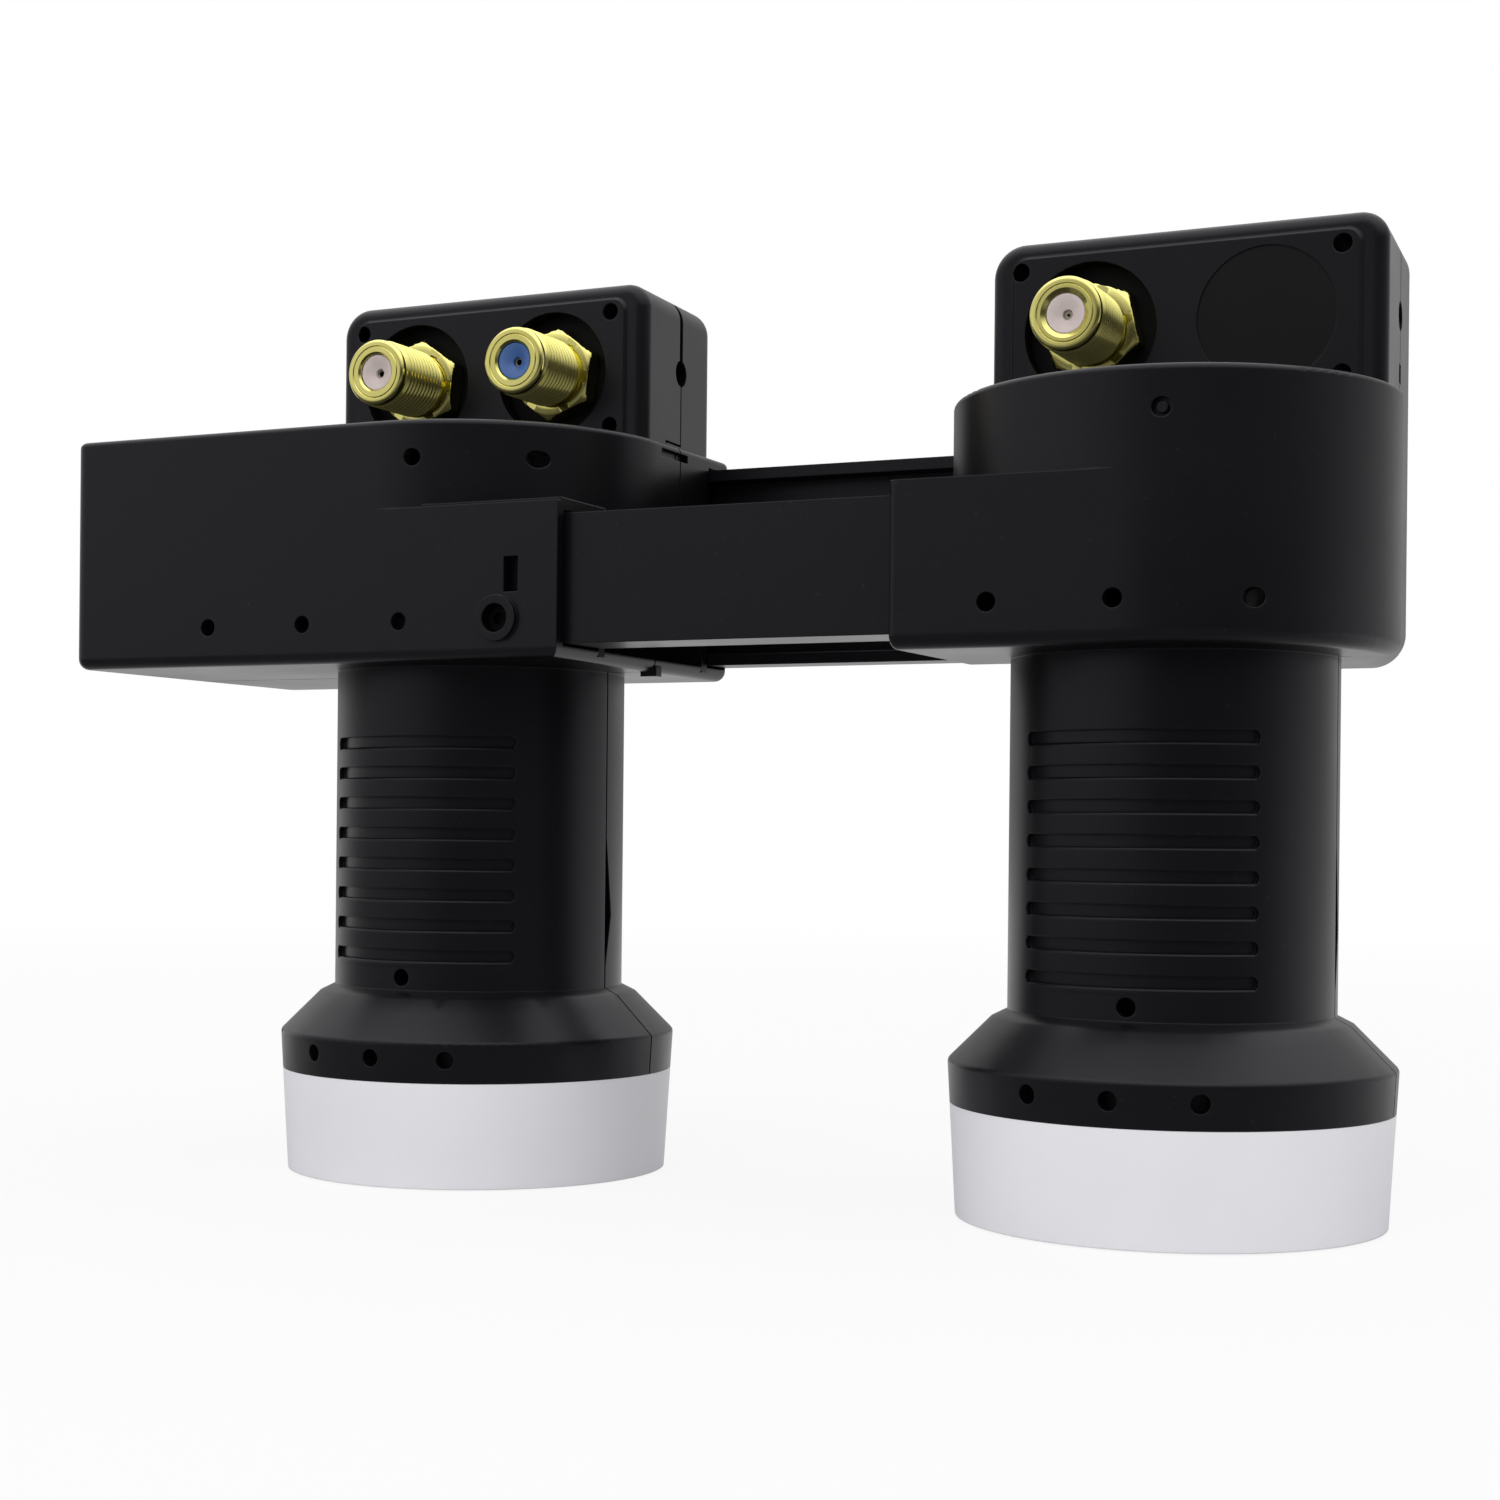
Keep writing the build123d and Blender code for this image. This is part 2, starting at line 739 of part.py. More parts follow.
with BuildPart() as right_rear_shell:
    add(right_outer.part)
    add(right_void.part, mode=Mode.SUBTRACT)
    # Socket that holds the end of the rear rail, made the same way
    block(
        facing_side(right_x - box_half + shell_wall / 2),
        (rear_tunnel_y[0] - guide_wall, rear_wall_y + shell_wall / 2),
        (floor_z - shell_wall / 2, ceiling_z + shell_wall / 2),
        rail_right_seat + guide_wall - shell_wall / 2,
    )
    block(
        facing_side(right_x - box_half - shell_wall),
        (rear_tunnel_y[0] + slide_clearance - seat_clearance, rear_tunnel_y[1] - slide_clearance + seat_clearance),
        (rear_tunnel_z[0] + slide_clearance - seat_clearance, rear_tunnel_z[1] - slide_clearance + seat_clearance),
        rail_right_seat + shell_wall,
        mode=Mode.SUBTRACT,
    )
    add_screw_posts(right_x)
    cut_screw_ways(right_x)
    cut_seam_port(right_x)
    cut_drain_slot()
    add(rear_region.part, mode=Mode.INTERSECT)
write(right_rear_shell.part, "right_rear_shell")

# Slide rails: channel sections that face each other, seated in the right unit and run in the left one
rail_left_x = left_x + drum_radius - rail_left_reach
rails = {
    "front_slide_rail": (
        (front_tunnel_y[0] + slide_clearance, front_tunnel_y[1] - slide_clearance),
        (front_tunnel_z[0] + slide_clearance, front_tunnel_z[1] - slide_clearance),
        right_x - drum_radius + rail_right_seat - seat_clearance,
        rail_web,
    ),
    "rear_slide_rail": (
        (rear_tunnel_y[0] + slide_clearance, rear_tunnel_y[1] - slide_clearance),
        (rear_tunnel_z[0] + slide_clearance, rear_tunnel_z[1] - slide_clearance),
        right_x - box_half + rail_right_seat - seat_clearance,
        -rail_web,
    ),
}
for label, (rail_y, rail_z, rail_right_x, hollow_shift) in rails.items():
    rail_length = rail_right_x - rail_left_x
    with BuildPart() as slide_rail:
        block(facing_side(rail_left_x), rail_y, rail_z, rail_length)
        block(
            facing_side(rail_left_x - rail_web),
            (rail_y[0] + hollow_shift, rail_y[1] + hollow_shift),
            (rail_z[0] + rail_flange, rail_z[1] - rail_flange),
            rail_length + 2 * rail_web,
            mode=Mode.SUBTRACT,
        )
    write(slide_rail.part, label)

# Lock screw: a socket set screw sunk in the ring, ending flush with the inside of the wall
with BuildPart() as lock_screw:
    with BuildSketch(facing_front(left_x, -drum_radius + shell_wall)):
        with Locations((lock_offset, housing_bottom + row_rise)):
            Circle(lock_hole_diameter / 2 - lock_screw_clearance)
    extrude(amount=shell_wall - lock_screw_sink)
    with BuildSketch(facing_front(left_x, -drum_radius + lock_screw_sink + lock_socket_depth)):
        with Locations((lock_offset, housing_bottom + row_rise)):
            RegularPolygon(lock_socket_flats / 2, 6, major_radius=False)
    extrude(amount=shell_wall, mode=Mode.SUBTRACT)
write(lock_screw.part, "lock_screw")

# Pieces that both units have
spigot_radius = pocket_radius - slide_clearance
spigot_top = cap_height + spigot_length
seal_z = cap_height + spigot_length / 2
seal_groove_radius = spigot_radius - seal_groove_depth
horn_z = band_top
tube_radius = waveguide_bore / 2 + waveguide_wall
tube_top = ceiling_z - seat_clearance
chassis_front = outlet_recess_depth + outlet_recess_floor + slide_clearance
chassis_rear = rear_reach - shell_wall - 2 * shield_thickness - slide_clearance
chassis_z = (deck_z + seat_clearance, box_top - shell_wall - slide_clearance)
chassis_half = box_half - chassis_inset
board_front = chassis_front + chassis_front_wall + board_setback
for side, x in unit_x.items():
    with BuildPart() as feed_cap:
        with BuildSketch(facing_front(x, 0)):
            outline(
                (0, 0),
                (cap_foot_radius, 0),
                (cap_radius, cap_height),
                (spigot_radius, cap_height),
                (spigot_radius, seal_z - seal_width / 2),
                (seal_groove_radius, seal_z - seal_width / 2),
                (seal_groove_radius, seal_z + seal_width / 2),
                (spigot_radius, seal_z + seal_width / 2),
                (spigot_radius, spigot_top),
                (spigot_radius - spigot_wall, spigot_top),
                (spigot_radius - spigot_wall, cap_height - cap_shoulder),
                (cap_foot_radius - cap_side_wall, cap_height - cap_shoulder),
                (cap_foot_radius - cap_side_wall, cap_wall),
                (0, cap_wall),
            )
        revolve(axis=feed_axis(x))
    write(feed_cap.part, f"{side}_feed_cap")

    with BuildPart() as cap_seal:
        with BuildSketch(facing_front(x, 0)):
            limits(
                (seal_groove_radius + fit_clearance, pocket_radius - fit_clearance),
                (seal_z - seal_width / 2 + fit_clearance, seal_z + seal_width / 2 - fit_clearance),
            )
        revolve(axis=feed_axis(x))
    write(cap_seal.part, f"{side}_cap_seal")

    with BuildPart() as cast_body:
        # Waveguide tube, closed at the top, with a band that centres it in the neck
        with BuildSketch(facing_front(x, 0)):
            outline(
                (waveguide_bore / 2, waveguide_lift),
                (tube_radius, waveguide_lift),
                (tube_radius, housing_bottom - 2 * centring_band),
                (neck_bore - slide_clearance, housing_bottom - 2 * centring_band),
                (neck_bore - slide_clearance, housing_bottom - centring_band),
                (tube_radius, housing_bottom - centring_band),
                (tube_radius, tube_top),
                (0, tube_top),
                (0, tube_top - back_short),
                (waveguide_bore / 2, tube_top - back_short),
            )
            # Horn: a plate under the collar's seat and the rings that hang from it
            limits((tube_radius - fit_clearance, spigot_radius), (horn_z - horn_plate, horn_z))
            for ring_setback, ring_z in horn_rings:
                ring_radius = spigot_radius - spigot_wall - ring_setback
                limits((ring_radius - horn_ring_wall, ring_radius), (ring_z, horn_z - horn_plate / 2))
        revolve(axis=feed_axis(x))
        # Chassis in the connector box, on a riser from the tube
        block(
            facing_front(x, riser_rear),
            (-riser_width / 2, riser_width / 2),
            (deck_z - riser_height, deck_z + chassis_wall),
            riser_rear - chassis_front,
        )
        block(
            facing_front(x, chassis_rear),
            (-chassis_half, chassis_half),
            chassis_z,
            chassis_rear - chassis_front,
        )
        block(
            facing_front(x, chassis_rear),
            (chassis_wall - chassis_half, chassis_half - chassis_wall),
            (chassis_z[0] + chassis_wall, chassis_z[1] - chassis_wall),
            chassis_rear - board_front,
            mode=Mode.SUBTRACT,
        )
        inner_wall = chassis_wall + chassis_seat
        block(
            facing_front(x, chassis_rear),
            (inner_wall - chassis_half, chassis_half - inner_wall),
            (chassis_z[0] + inner_wall, chassis_z[1] - inner_wall),
            chassis_rear - chassis_front - chassis_front_wall,
            mode=Mode.SUBTRACT,
        )
        with BuildSketch(facing_front(x, chassis_rear)):
            with Locations(*[(offset, outlet_z) for offset in outlet_offsets[side]]):
                Circle(outlet_tail_diameter / 2 + fit_clearance)
        extrude(amount=chassis_rear, mode=Mode.SUBTRACT)
    write(cast_body.part, f"{side}_cast_body")

    with BuildPart() as circuit_board:
        board_gap = chassis_wall + slide_clearance
        block(
            facing_front(x, board_front + board_thickness),
            (board_gap - chassis_half, chassis_half - board_gap),
            (chassis_z[0] + board_gap, chassis_z[1] - board_gap),
            board_thickness,
        )
    write(circuit_board.part, f"{side}_circuit_board")

    with BuildPart() as shield_plate:
        block(
            facing_front(x, chassis_rear + shield_thickness),
            (-chassis_half, chassis_half),
            chassis_z,
            shield_thickness,
        )
    write(shield_plate.part, f"{side}_shield_plate")

    # Shell screws, driven from the rear
    head_rear = rear_reach - screw_head_sink
    head_front = head_rear - screw_head_height
    with BuildPart() as shell_screws:
        with BuildSketch(facing_front(x, head_rear)):
            with Locations(*screw_places):
                Circle(screw_head_diameter / 2)
        extrude(amount=screw_head_height)
        with BuildSketch(facing_front(x, head_front)):
            with Locations(*screw_places):
                Circle(screw_shank_diameter / 2)
        extrude(amount=head_front - screw_tip_setback)
        with BuildSketch(facing_front(x, head_rear)):
            with Locations(*screw_places):
                Rectangle(screw_head_diameter / 1.5, drive_slot_width)
                Rectangle(drive_slot_width, screw_head_diameter / 1.5)
        extrude(amount=drive_slot_depth, mode=Mode.SUBTRACT)
    write(shell_screws.part, f"{side}_shell_screws")

# Outlets: brass body, insulator and spring contact
outlet_axes = {
    "left_outlet_a": left_x + outlet_offsets["left"][0],
    "left_outlet_b": left_x + outlet_offsets["left"][1],
    "right_outlet": right_x + outlet_offsets["right"][0],
}
hex_front = outlet_recess_depth - hex_thickness
tail_rear = outlet_recess_depth + outlet_tail_length
for label, x in outlet_axes.items():
    with BuildPart() as outlet_body:
        with BuildSketch(facing_front(x, outlet_recess_depth)):
            with Locations((0, outlet_z)):
                RegularPolygon(hex_flats / 2, 6, major_radius=False, rotation=hex_turn[label])
        extrude(amount=hex_thickness)
        with BuildSketch(facing_front(x, hex_front)):
            with Locations((0, outlet_z)):
                Circle(outlet_diameter / 2)
        extrude(amount=outlet_reach + hex_front)
        chamfer(edges().filter_by(GeomType.CIRCLE).group_by(Axis.Y)[0], outlet_chamfer)
        with BuildSketch(facing_front(x, tail_rear)):
            with Locations((0, outlet_z)):
                Circle(outlet_tail_diameter / 2)
        extrude(amount=outlet_tail_length)
        with BuildSketch(facing_front(x, tail_rear)):
            with Locations((0, outlet_z)):
                Circle(insulator_diameter / 2 + fit_clearance)
        extrude(amount=tail_rear + outlet_reach, mode=Mode.SUBTRACT)
    write(outlet_body.part, f"{label}_body")

    with BuildPart() as insulator:
        with BuildSketch(facing_front(x, tail_rear)):
            with Locations((0, outlet_z)):
                Circle(insulator_diameter / 2)
                Circle(contact_diameter / 2 + fit_clearance, mode=Mode.SUBTRACT)
        extrude(amount=tail_rear + outlet_reach - insulator_setback)
    write(insulator.part, f"{label}_insulator")

    with BuildPart() as contact:
        with BuildSketch(facing_front(x, board_front)):
            with Locations((0, outlet_z)):
                Circle(contact_diameter / 2)
        extrude(amount=board_front + outlet_reach - contact_setback)
    write(contact.part, f"{label}_contact")
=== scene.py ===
"""Looks of a twin satellite LNB: moulded plastic, threaded outlets, neck walls, floor, light and camera.

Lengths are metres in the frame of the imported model: +Z is up, +X runs along the bridge, and the outlets
face -Y. The black shells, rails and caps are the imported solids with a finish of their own. The outlets
are built here, because their threads are too fine for the solids. So are thin walls below the grip
grooves, which keep the necks round there.
"""

import json
from math import atan2, cos, hypot, pi, radians, sin, tan

import bmesh
import bpy
import numpy as np
from mathutils import Matrix, Vector


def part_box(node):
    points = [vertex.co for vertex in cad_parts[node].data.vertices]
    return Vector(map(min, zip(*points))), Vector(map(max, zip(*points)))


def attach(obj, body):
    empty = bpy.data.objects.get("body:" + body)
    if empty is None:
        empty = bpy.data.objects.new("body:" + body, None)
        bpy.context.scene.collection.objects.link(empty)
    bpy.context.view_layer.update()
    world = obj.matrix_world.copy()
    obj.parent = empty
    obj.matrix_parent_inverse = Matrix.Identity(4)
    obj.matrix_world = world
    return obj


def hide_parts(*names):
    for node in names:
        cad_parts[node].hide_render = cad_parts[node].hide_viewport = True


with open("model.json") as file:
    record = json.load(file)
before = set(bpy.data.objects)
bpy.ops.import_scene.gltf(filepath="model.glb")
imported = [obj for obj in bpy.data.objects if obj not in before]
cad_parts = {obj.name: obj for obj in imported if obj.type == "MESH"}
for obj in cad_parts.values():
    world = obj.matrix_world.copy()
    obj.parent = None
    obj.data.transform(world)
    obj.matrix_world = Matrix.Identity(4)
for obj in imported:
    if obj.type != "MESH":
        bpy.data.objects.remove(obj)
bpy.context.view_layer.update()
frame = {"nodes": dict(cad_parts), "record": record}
nodes = frame["nodes"]
MM = 0.001

# Outlet barrel, with depths measured back from its front face
COLUMNS = 72
BORE_RADIUS = 2.50 * MM
MOUTH_DEPTH = 0.40 * MM
FACE_LINE = 3.55 * MM
FACE_LINE_WIDTH = 0.10 * MM
FACE_RADIUS = 4.05 * MM
NOSE_RADIUS = 4.52 * MM
NOSE_END = 1.05 * MM
EDGE_BREAK = 0.10 * MM
RELIEF_RADIUS = 4.22 * MM
RELIEF_STEP = 0.06 * MM
RELIEF_WIDTH = 0.16 * MM
HEX_FRONT = 10.60 * MM
HEX_BACK = 13.60 * MM
HEX_APOTHEM = 5.65 * MM
HEX_CHAMFER_RADIUS = 5.55 * MM
HEX_CHAMFER_SLOPE = tan(radians(30))
HEX_CHAMFER_STEPS = 5
TAIL_RADIUS = 3.95 * MM
TAIL_END = 18.00 * MM

# Round of the barrel's nose, as shares of its radius going out and back
NOSE_ROUND = ((0.50, 0.13), (0.87, 0.50))

# Thread on the barrel, with its profile over one pitch
THREAD_PITCH = 0.80 * MM
THREAD_CREST = 4.68 * MM
THREAD_STEPS = (0.0, 0.10, 0.42, 0.58, 0.90)
THREAD_HEIGHTS = (0.0, 0.0, 1.0, 1.0, 0.0)
THREAD_FADE = 0.7 * THREAD_PITCH

# Insulator and contact in the barrel
INSULATOR_RADIUS = 2.45 * MM
INSULATOR_RIM = 0.90 * INSULATOR_RADIUS
INSULATOR_FACE = 0.45 * MM
INSULATOR_DISH = 0.85 * MM
DISH_BEND_RADIUS = 0.55 * INSULATOR_RADIUS
DISH_BEND_RISE = 0.45 * INSULATOR_DISH
CONTACT_RADIUS = 0.55 * MM
CONTACT_FACE = 1.70 * MM
CONTACT_DEPTH = 5.0 * MM
HOLE_RADIUS = CONTACT_RADIUS + 0.05 * MM
HOLE_FLARE = 0.06 * MM

# Body that carries each outlet, finish of its insulator, width of its mouth and bore of its contact
OUTLETS = {
    "left_outlet_a": {"body": "left_unit", "plug": "pale_insulator", "mouth": 0.28 * MM, "bore": 0.36 * MM},
    "left_outlet_b": {"body": "left_unit", "plug": "blue_insulator", "mouth": 0.28 * MM, "bore": 0.36 * MM},
    "right_outlet": {"body": "right_unit", "plug": "pale_insulator", "mouth": 0.55 * MM, "bore": 0.14 * MM},
}

# Recesses in the fronts of the connector boxes, with the depth measured back from the feed axes; their faces
# get a darker, duller finish that is painted shade, and the blank disc its own darker finish
BOX_FRONT = -0.40 * MM
RECESS_DEPTH = 4.0 * MM
RECESS_RADIUS = 8.6 * MM
RECESS_SHADE_INDEX = 1
BLANK_INDEX = 2

# Neck walls below the grip grooves
NECK_RADIUS = 20.02 * MM
NECK_SKIN = 0.40 * MM
NECK_SINK = 0.04 * MM
NECK_FOOT = 0.80 * MM
NECK_HALF_ANGLE = radians(45.0)
NECK_COLUMNS = 54
GROOVE_COUNT = 8
GROOVE_FIRST = 29.85 * MM
GROOVE_PITCH = 4.07 * MM
GROOVE_HEIGHT = 1.75 * MM
GROOVE_LIP = 0.03 * MM
GROOVE_HALF_ANGLE = radians(41.0)
LIP_RISE = 0.34 * MM
LIP_STEPS = 4

# Shading of the solids: corners at one spot, what counts as flat, and what counts as an upright round wall
SPOT_SIZE = 0.0002 * MM
FLAT_ANGLE = radians(0.4)
WALL_ROUNDNESS = 0.008 * MM
WALL_HEIGHT = 0.001 * MM
SHORTEST_NORMAL = 1e-9

# Sharpest edges that are shaded smooth, and the distance at which points become one
CREASE_ANGLE = radians(35.0)
OUTLET_CREASE_ANGLE = radians(32.0)
WELD_DISTANCE = 1e-7

# Camera of the photograph: a 1500 pixel square frame
FRAME_PIXELS = 1500
FOCAL_PIXELS = 2385.1
PRINCIPAL_POINT = (741.0, 836.5)
CAMERA_PLACE = Vector((136.75, -288.28, 46.90)) * MM
CAMERA_YAW = radians(25.00)
CAMERA_PITCH = radians(-0.12)
CAMERA_ROLL = radians(0.57)
SENSOR_WIDTH = 36.0
NEAREST_SEEN = 0.01
FARTHEST_SEEN = 20.0

# Lamps, with their power in watts
LAMPS = {
    "top_lamp": {"place": (0.05, -0.10, 0.75), "aim": (0.01, 0.0, 0.06), "size": 0.70, "power": 0.8},
    "front_lamp": {"place": (-0.05, -0.95, 0.30), "aim": (0.0, 0.0, 0.05), "size": 0.70, "power": 3.2},
    "side_lamp": {"place": (0.85, 0.10, 0.30), "aim": (0.03, 0.0, 0.06), "size": 0.50, "power": 0.8},
}

# Studio: its even level, then what gloss mirrors of it, as a span of directions and the levels at its ends
WHITE = (1.0, 1.0, 1.0, 1.0)
WHITE_LEVEL = 1.0
WORLD_LEVEL = 0.80
SCREEN_SIDE = (-0.56, -0.81, 0.17)
MIRRORED_OVERHEAD = {"span": (0.22, 0.85), "levels": (0.0, 1.75)}
MIRRORED_AROUND = {"span": (0.92, -0.15), "levels": (0.04, 0.58)}
MIRRORED_BACKDROP = {"span": (-0.80, -0.98), "levels": (0.0, -0.36)}
MIRRORED_FLANK = {"span": (-0.40, -0.66), "levels": (0.0, 0.20)}
MIRRORED_SCREEN = {"span": (0.80, 0.99), "levels": (0.0, 0.42)}

# Floor: its surface, then its white in reflections by distance back, and how far that white covers it
FLOOR_SIZE = 6.0
FLOOR_DROP = 0.0002
FLOOR_COLOUR = (0.82, 0.82, 0.82, 1.0)
FLOOR_ROUGHNESS = 0.9
FLOOR_BEHIND = {"span": (-0.06, 0.14), "levels": (0.12, 0.96)}
FLOOR_DISTANT = {"span": (1.10, 1.60), "levels": (1.0, 0.42)}
FLOOR_COVER = {"span": (0.30, 0.90), "levels": (0.86, 1.0)}


# Shader helpers

def new_material(name):
    """Material with one Principled shader; returns it with its node tree and that shader."""
    material = bpy.data.materials.new(name)
    material.use_nodes = True
    tree = material.node_tree
    return material, tree, tree.nodes["Principled BSDF"]


def add_node(tree, kind, inputs=None, **settings):
    """Node of this kind, with settings on the node and values or links on its inputs."""
    node = tree.nodes.new(kind)
    for key, value in settings.items():
        setattr(node, key, value)
    for key, value in (inputs or {}).items():
        if isinstance(value, bpy.types.NodeSocket):
            tree.links.new(value, node.inputs[key])
        else:
            node.inputs[key].default_value = value
    return node


def object_point(tree):
    return add_node(tree, "ShaderNodeTexCoord").outputs["Object"]


def combine(tree, operation, first, second):
    """One value worked out from two."""
    return add_node(tree, "ShaderNodeMath", {0: first, 1: second}, operation=operation).outputs["Value"]


def along(tree, direction, side):
    """How far a direction points to a side, from -1 to 1."""
    dot = add_node(tree, "ShaderNodeVectorMath", {0: direction, 1: side}, operation="DOT_PRODUCT")
    return dot.outputs["Value"]


def mix_shaders(tree, factor, first, second):
    """First shader where factor is 0, second where it is 1."""
    return add_node(tree, "ShaderNodeMixShader", {0: factor, 1: first, 2: second}).outputs["Shader"]


def noise(tree, point, scale, detail=3.0, roughness=0.55):
    """Noise from 0 to 1, with scale in features per metre."""
    inputs = {"Vector": point, "Scale": scale, "Detail": detail, "Roughness": roughness}
    return add_node(tree, "ShaderNodeTexNoise", inputs).outputs["Fac"]


def spread(tree, value, span, levels):
    """Value remapped from a span to the levels at its two ends, and held there beyond them."""
    inputs = {"Value": value}
    inputs["From Min"], inputs["From Max"] = span
    inputs["To Min"], inputs["To Max"] = levels
    return add_node(tree, "ShaderNodeMapRange", inputs).outputs["Result"]


def tint(tree, factor, dark, light):
    """Colour between two colours."""
    ramp = add_node(tree, "ShaderNodeValToRGB", {"Fac": factor})
    ramp.color_ramp.elements[0].color = (*dark, 1.0)
    ramp.color_ramp.elements[1].color = (*light, 1.0)
    return ramp.outputs["Color"]


def cloudy(tree, cloud, dark, light):
    """Colour that drifts from dark to light over the middle of a noise."""
    return tint(tree, spread(tree, cloud, span=(0.3, 0.7), levels=(0.0, 1.0)), dark, light)


def layer(tree, factor, under, over):
    """Plain colour laid over another colour where factor is 1."""
    mix = add_node(tree, "ShaderNodeMix", data_type="RGBA")
    tree.links.new(factor, mix.inputs["Factor"])
    tree.links.new(under, mix.inputs["A"])
    mix.inputs["B"].default_value = (*over, 1.0)
    return mix.outputs["Result"]


def grain(tree, height, depth, strength, normal=None):
    """Bump of this depth in metres."""
    inputs = {"Height": height, "Distance": depth, "Strength": strength}
    if normal is not None:
        inputs["Normal"] = normal
    return add_node(tree, "ShaderNodeBump", inputs).outputs["Normal"]


def rounded_edges(tree, radius):
    """Normal that rounds sharp edges by radius."""
    return add_node(tree, "ShaderNodeBevel", {"Radius": radius}, samples=4).outputs["Normal"]


def edge_share(tree, rounded):
    """How much of an edge there is, from 0 to 1, where the rounded normal leaves the flat one."""
    flat = add_node(tree, "ShaderNodeNewGeometry").outputs["Normal"]
    return spread(tree, along(tree, rounded, flat), span=(0.80, 0.99), levels=(1.0, 0.0))


def cover(tree, shader, colour, roughness, normal):
    """Links what varies over a surface to its shader."""
    tree.links.new(colour, shader.inputs["Base Color"])
    tree.links.new(roughness, shader.inputs["Roughness"])
    tree.links.new(normal, shader.inputs["Normal"])


# Materials

def black_plastic():
    """Satin black moulding: fine spark grain, broad gloss variation, dust, and paler edges that are partly
    handling wear and partly a painted edge highlight.
    """
    material, tree, shader = new_material("black_plastic")
    point = object_point(tree)
    rounded = rounded_edges(tree, radius=0.22 * MM)
    broad = noise(tree, point, scale=38.0, detail=4.0)
    base = cloudy(tree, broad, dark=(0.0026, 0.0026, 0.0034), light=(0.0036, 0.0036, 0.0046))
    specks = noise(tree, point, scale=1900.0, detail=1.0)
    dust = spread(tree, specks, span=(0.72, 0.82), levels=(0.0, 0.06))
    dusted = layer(tree, dust, under=base, over=(0.16, 0.16, 0.16))
    # Paler colour along the edges: partly handling wear, partly a painted highlight where light catches the
    # edges
    worn_and_sheen_edges = combine(tree, "MULTIPLY", edge_share(tree, rounded), noise(tree, point, scale=220.0))
    handled_and_sheen = spread(tree, worn_and_sheen_edges, span=(0.25, 0.75), levels=(0.0, 0.35))
    colour = layer(tree, handled_and_sheen, under=dusted, over=(0.030, 0.030, 0.033))
    roughness = spread(tree, broad, span=(0.25, 0.75), levels=(0.29, 0.37))
    spark = noise(tree, point, scale=2600.0, detail=2.0)
    bumps = grain(tree, spark, depth=0.012 * MM, strength=0.35, normal=rounded)
    cover(tree, shader, colour, roughness, bumps)
    shader.inputs["IOR"].default_value = 1.37
    shader.inputs["Specular Tint"].default_value = (0.91, 0.90, 1.0, 1.0)
    return material


def dull_plastic_and_painted_shade(name, smoothest, roughest, ior):
    """Darker, duller black moulding with a coarse spark finish: painted shade in the bottom of a recess, and
    the blank disc's own finish.
    """
    material, tree, shader = new_material(name)
    point = object_point(tree)
    broad = noise(tree, point, scale=60.0, detail=4.0)
    colour = cloudy(tree, broad, dark=(0.0018, 0.0018, 0.0022), light=(0.0028, 0.0028, 0.0034))
    roughness = spread(tree, broad, span=(0.25, 0.75), levels=(smoothest, roughest))
    spark = noise(tree, point, scale=1600.0, detail=2.0)
    cover(tree, shader, colour, roughness, grain(tree, spark, depth=0.02 * MM, strength=0.4))
    shader.inputs["IOR"].default_value = ior
    return material


def cap_plastic():
    """Pale satin moulding of the feed caps, a little cloudy, with faint handling marks."""
    material, tree, shader = new_material("cap_plastic")
    point = object_point(tree)
    rounded = rounded_edges(tree, radius=0.30 * MM)
    cloud = noise(tree, point, scale=30.0, detail=5.0)
    base = cloudy(tree, cloud, dark=(0.675, 0.665, 0.700), light=(0.725, 0.715, 0.750))
    smears = noise(tree, point, scale=85.0, detail=6.0, roughness=0.65)
    marks = spread(tree, smears, span=(0.66, 0.80), levels=(0.0, 0.18))
    colour = layer(tree, marks, under=base, over=(0.52, 0.50, 0.48))
    roughness = spread(tree, cloud, span=(0.25, 0.75), levels=(0.42, 0.55))
    spark = noise(tree, point, scale=2200.0, detail=2.0)
    bumps = grain(tree, spark, depth=0.010 * MM, strength=0.3, normal=rounded)
    cover(tree, shader, colour, roughness, bumps)
    return material


def metal(name, dark, light, smoothest, roughest, clouds=160.0):
    """Metal with cloudy tone, a fine speckled gloss and slightly rounded edges."""
    material, tree, shader = new_material(name)
    point = object_point(tree)
    rounded = rounded_edges(tree, radius=0.08 * MM)
    colour = cloudy(tree, noise(tree, point, scale=clouds, detail=4.0), dark, light)
    fine = noise(tree, point, scale=5200.0, detail=2.0)
    roughness = spread(tree, fine, span=(0.25, 0.75), levels=(smoothest, roughest))
    bumps = grain(tree, fine, depth=0.002 * MM, strength=0.15, normal=rounded)
    cover(tree, shader, colour, roughness, bumps)
    shader.inputs["Metallic"].default_value = 1.0
    return material


def plain_moulding(name, dark, light, smoothest, roughest):
    """Small plastic or rubber piece with a slightly mottled tone."""
    material, tree, shader = new_material(name)
    point = object_point(tree)
    cloud = noise(tree, point, scale=400.0)
    colour = cloudy(tree, cloud, dark, light)
    roughness = spread(tree, cloud, span=(0.2, 0.8), levels=(smoothest, roughest))
    bumps = grain(tree, noise(tree, point, scale=4000.0), depth=0.006 * MM, strength=0.3)
    cover(tree, shader, colour, roughness, bumps)
    return material


def circuit_board():
    """Green laminate with paler copper tracks under the lacquer."""
    material, tree, shader = new_material("circuit_board")
    point = object_point(tree)
    cells = add_node(tree, "ShaderNodeTexVoronoi", {"Vector": point, "Scale": 260.0}, distance="MANHATTAN")
    tracks = spread(tree, cells.outputs["Distance"], span=(0.30, 0.36), levels=(0.0, 1.0))
    colour = tint(tree, tracks, dark=(0.016, 0.110, 0.045), light=(0.035, 0.190, 0.080))
    roughness = spread(tree, noise(tree, point, scale=300.0), span=(0.2, 0.8), levels=(0.25, 0.40))
    cover(tree, shader, colour, roughness, grain(tree, tracks, depth=0.03 * MM, strength=0.5))
    return material


